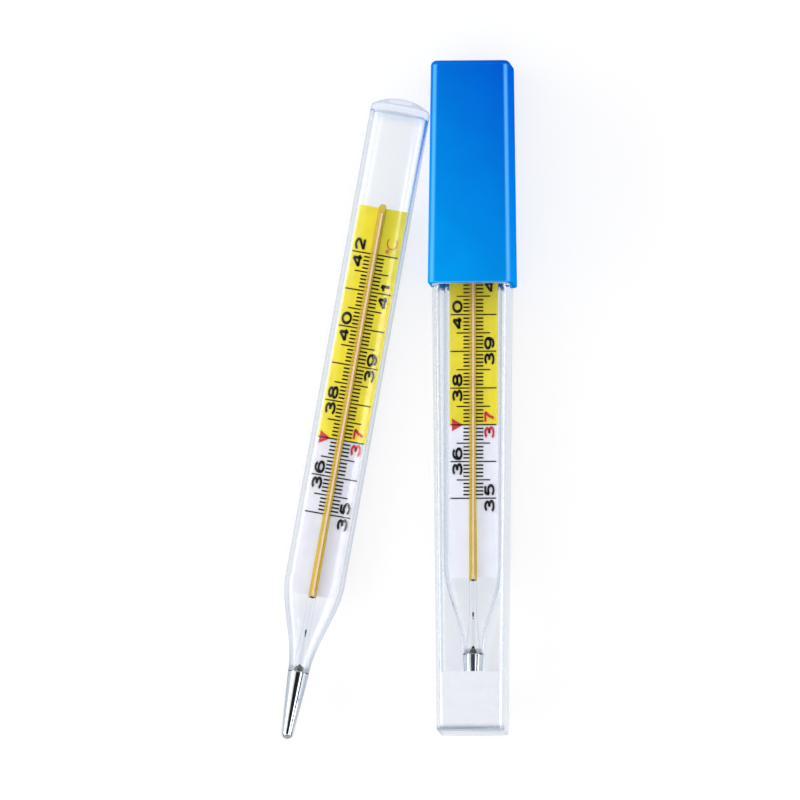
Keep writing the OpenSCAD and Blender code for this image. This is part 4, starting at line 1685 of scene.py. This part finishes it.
@dataclass
class Studio:
    """Floor, light and camera.

    The room's limits are slopes of a ray: its way to the side or along the case for each step up.
    """

    middle: Vector
    toe: Vector
    bulb: Vector
    lean: Span = (0.0735, -0.09)
    distance: float = 6.0
    frame_width: float = 152.75 * MM
    aim: Span = (-14.05 * MM, 64.08 * MM)
    aim_height: float = 4.0 * MM
    sensor: float = 36.0
    near_clip: float = 0.06
    floor_half: float = 1.5
    floor_drop: float = 0.2 * MM
    floor_fade: Span = (0.14, 0.5)
    floor_glow: float = 0.72
    paper: Colour = srgb(248, 248, 250)
    far_floor: Colour = (0.62, 0.67, 0.76, 1.0)
    mirrored_floor: Colour = (0.84, 0.87, 0.91, 1.0)
    deep_floor: Colour = (0.74, 0.79, 0.85, 1.0)
    front_floor: Colour = (0.68, 0.73, 0.8, 1.0)
    tip_floor: Colour = (0.02, 0.02, 0.02, 1.0)
    # Painted shadow: the floor's tone round the loose bulb, in mirrors and glass.
    bulb_floor: Colour = (0.42, 0.5, 0.58, 1.0)
    card_edge: float = 0.3 * MM
    card_reach: float = 14.0 * MM
    tip_reach: float = 26.0 * MM
    full_share: float = 0.7
    ambient: float = 0.97
    least_height: float = 0.05
    room: Colour = (0.97, 0.985, 1.0, 1.0)
    low_room: Colour = (0.6, 0.66, 0.76, 1.0)
    low_span: Span = (0.25, 0.06)
    slot: Colour = (0.01, 0.01, 0.012, 1.0)
    slot_on_glass: float = 0.92
    slot_length: Span = (0.9, 0.6)
    slot_width: Span = (0.85, 0.2)
    inner_width: Span = (0.56, 0.46)
    core_width: Span = (0.09, 0.02)
    foot_span: Span = (-1.3, -2.2)
    right_shade: Colour = (0.14, 0.17, 0.2, 1.0)
    shade_span: Span = (0.98, 1.12)
    right_strip: float = 6.0
    right_spans: tuple[Span, Span] = ((0.72, 0.9), (2.1, 1.7))
    narrow_span: Span = (0.95, 1.1)
    left_strip: float = 3.0
    left_spans: tuple[Span, Span] = ((-2.2, -2.8), (-6.0, -4.0))
    strip_length: Span = (2.0, 1.2)
    deep_turns: Span = (2.5, 3.5)
    deep_strip: float = 0.3

    def build(self) -> None:
        """Builds everything round the set."""
        self.build_camera()
        self.build_floor()
        self.build_world()
        for panel in PANELS:
            self.build_panel(panel)

    def build_camera(self) -> None:
        """Builds the camera, which looks down with the case upright in the picture."""
        data = bpy.data.cameras.new("camera")
        data.sensor_width = self.sensor
        data.lens = self.sensor * self.distance / self.frame_width
        data.clip_start = self.near_clip
        camera = link("camera", data)
        back = Vector((*self.lean, 1.0)).normalized()
        aim = Vector((self.aim[0], self.toe.y + self.aim[1], self.aim_height))
        camera.matrix_world = looking(aim + back * self.distance, back)
        bpy.context.scene.camera = camera

    def build_floor(self) -> None:
        """Builds the pale floor."""
        mesh = bpy.data.meshes.new("floor")
        half = self.floor_half
        corners = [(self.middle.x + x * half, self.middle.y + y * half, -self.floor_drop)
                   for x, y in ((-1, -1), (1, -1), (1, 1), (-1, 1))]
        mesh.from_pydata(corners, [], [(0, 1, 2, 3)])
        floor = link("floor", mesh)
        mesh.materials.append(new_material("floor_white", self.floor_surface))

    def floor_surface(self, desk: Desk, where: Socket) -> Node:
        """Builds a floor that is white to the eye, greyer in mirrors, and still takes the set's shadow, with
        a painted shadow round the loose bulb that only mirrors and glass show.

        Args:
            desk: The material's tree.
            where: The place on the floor.

        Returns:
            The surface.
        """
        path = desk.rays()
        inside = desk.turned(path["Transmission Depth"], 1)
        glow = desk.mix(desk.ease(desk.vector("DISTANCE", where, self.middle), *self.floor_fade), WHITE,
                        self.far_floor)
        from_bulb = desk.vector("DISTANCE", where, self.bulb)
        near_tip = desk.ease(from_bulb, self.tip_reach, self.full_share * self.tip_reach)
        card = desk.mix(desk.times(inside, near_tip), self.front_floor, self.tip_floor)
        # Painted shadow round the loose bulb.
        bulb_shadow = desk.ease(from_bulb, self.card_reach, self.full_share * self.card_reach)
        plain = desk.mix(inside, self.mirrored_floor, desk.mix(bulb_shadow, self.deep_floor, self.bulb_floor))
        front = desk.ease(desk.parts(where)["Y"], self.toe.y, self.toe.y - self.card_edge)
        shown = desk.mix(desk.turned(path["Glossy Depth"], 1), glow, desk.mix(front, plain, card))
        light = desk.add("ShaderNodeEmission", {"Color": shown, "Strength": 1.0})
        paper = desk.add("ShaderNodeBsdfDiffuse", {"Color": self.paper})
        share = desk.times(self.seen(desk, path), self.floor_glow)
        return desk.add("ShaderNodeMixShader", {0: share, 1: paper, 2: light})

    @staticmethod
    def seen(desk: Desk, path: Sockets) -> Socket:
        """Gives 1 for rays that the eye follows, straight, in a mirror or through glass."""
        straight = desk.math("MAXIMUM", path["Is Camera Ray"], path["Is Glossy Ray"])
        return desk.math("MAXIMUM", straight, path["Is Transmission Ray"])

    def build_world(self) -> None:
        """Builds the white room, whose dark slot overhead shows in mirrors and glass as a stripe."""
        world = bpy.data.worlds.new("white_room")
        bpy.context.scene.world = world
        world.use_nodes = True
        world.node_tree.nodes.clear()
        desk = Desk(world.node_tree)
        path = desk.rays()
        way = desk.parts(desk.add("ShaderNodeTexCoord").outputs["Generated"])
        height = desk.math("MAXIMUM", way["Z"], self.least_height)
        side = desk.math("DIVIDE", way["X"], height)
        across = desk.math("ABSOLUTE", side)
        along = desk.math("DIVIDE", desk.math("ABSOLUTE", way["Y"]), height)
        inside = desk.turned(path["Transmission Depth"], 1)
        mirrored = desk.turned(path["Glossy Depth"], 1)
        first = desk.math("SUBTRACT", 1.0, desk.turned(path["Glossy Depth"], 2))
        once = desk.times(first, mirrored)

        wide = desk.times(desk.ease(across, *self.slot_width), self.slot_on_glass)
        broad = desk.math("MAXIMUM", wide, desk.times(desk.ease(across, *self.inner_width), inside))
        core = desk.ease(desk.math("ABSOLUTE", desk.math("ADD", side, self.lean[0])), *self.core_width)
        slot = desk.times(desk.math("MAXIMUM", broad, core), desk.ease(along, *self.slot_length), first)
        foot = desk.ease(desk.math("DIVIDE", way["Y"], height), *self.foot_span)
        slot = desk.math("MAXIMUM", slot, desk.times(foot, once, inside))

        room = desk.mix(desk.ease(way["Z"], *self.low_span), self.room, self.low_room)
        right = desk.times(desk.ease(side, *self.shade_span), mirrored, inside)
        sky = desk.mix(slot, desk.mix(right, room, self.right_shade), self.slot)

        narrow = desk.times(desk.ease(side, *self.narrow_span), inside)
        right_strip = desk.times(*(desk.ease(side, *span) for span in self.right_spans),
                                 desk.math("SUBTRACT", 1.0, narrow), self.right_strip)
        left_strip = desk.times(*(desk.ease(side, *span) for span in self.left_spans), self.left_strip)
        strips = desk.times(desk.math("ADD", right_strip, left_strip), once,
                            desk.ease(along, *self.strip_length),
                            desk.ease(path["Transmission Depth"], *self.deep_turns, 1.0, self.deep_strip))

        light = desk.vector("ADD", sky, strips)
        shown = desk.add("ShaderNodeBackground", {"Color": light, "Strength": 1.0})
        fill = desk.add("ShaderNodeBackground", {"Color": WHITE, "Strength": self.ambient})
        both = desk.add("ShaderNodeMixShader", {0: self.seen(desk, path), 1: fill, 2: shown})
        desk.add("ShaderNodeOutputWorld", {"Surface": both})

    def build_panel(self, panel: Panel) -> None:
        """Builds one panel that faces the set.

        Args:
            panel: The panel.
        """
        data = bpy.data.lights.new(panel.name, "AREA")
        data.shape = "RECTANGLE"
        data.size = panel.height
        data.size_y = panel.length
        data.energy = panel.power
        lamp = link(panel.name, data)
        lamp.visible_glossy = False
        offset = Vector((panel.right, 0.0, panel.up))
        lamp.matrix_world = looking(self.middle + offset, offset.normalized())


def loose_placement(sizes: GlassSizes) -> tuple[Matrix, float]:
    """Works out where the loose thermometer lies.

    Args:
        sizes: Sizes of the thermometer in the case.

    Returns:
        The matrix that lays a standing mesh there, and its tilt.
    """
    joint = next(j for j in frame["joints"] if j["child"] == Body.LOOSE_MERCURY.value)
    axis = Vector(joint["axis"]).normalized()
    tilt = math.atan2(axis.x, axis.y)
    loose_low, loose_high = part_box("loose_envelope")
    size = (loose_high.z - loose_low.z) / sizes.depth
    low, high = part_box("loose_mercury_thread")
    tip = (low + high) / 2 - axis * (sizes.thread_foot + sizes.thread_top) / 2 * size
    laid = Matrix.Rotation(-tilt, 4, "Z") @ Matrix.Rotation(-QUARTER, 4, "X") @ Matrix.Scale(size, 4)
    return Matrix.Translation(tip) @ laid, tilt


def main() -> None:
    """Builds the set and its studio."""
    logging.basicConfig(level=logging.INFO, format="%(message)s")
    bpy.context.scene.view_settings.view_transform = "Standard"
    sizes = GlassSizes.from_frame()
    cased = Matrix.Translation(sizes.axis) @ Matrix.Rotation(-QUARTER, 4, "X")
    loose, tilt = loose_placement(sizes)
    bulb = sum(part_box("loose_bulb_glass"), Vector()) / 2
    Studio((CAD_BOX[0] + CAD_BOX[1]) / 2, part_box("case_tube")[0], bulb).build()
    Thermometer("loose", sizes, loose, Body.LOOSE, Body.LOOSE_MERCURY, tilt).build()
    # The cased one has the lighter painted copy of the opal, no painted shade at its taper and lighter
    # painted shade at its edges.
    Thermometer("cased", sizes, cased, Body.CASED, Body.CASED_MERCURY, 0.0, taper_tint=srgb(255, 255, 255),
                edge_tint=srgb(238, 242, 249), edge_blur=0.1, body_ior=1.14, plate_finish=LIGHTENED_OPAL,
                cone_foot_r=0.98 * MM, cone_head_r=0.2 * MM, cone_h=1.2 * MM).build()
    Case.from_frame(sizes).build()


if __name__ == "__main__":
    main()
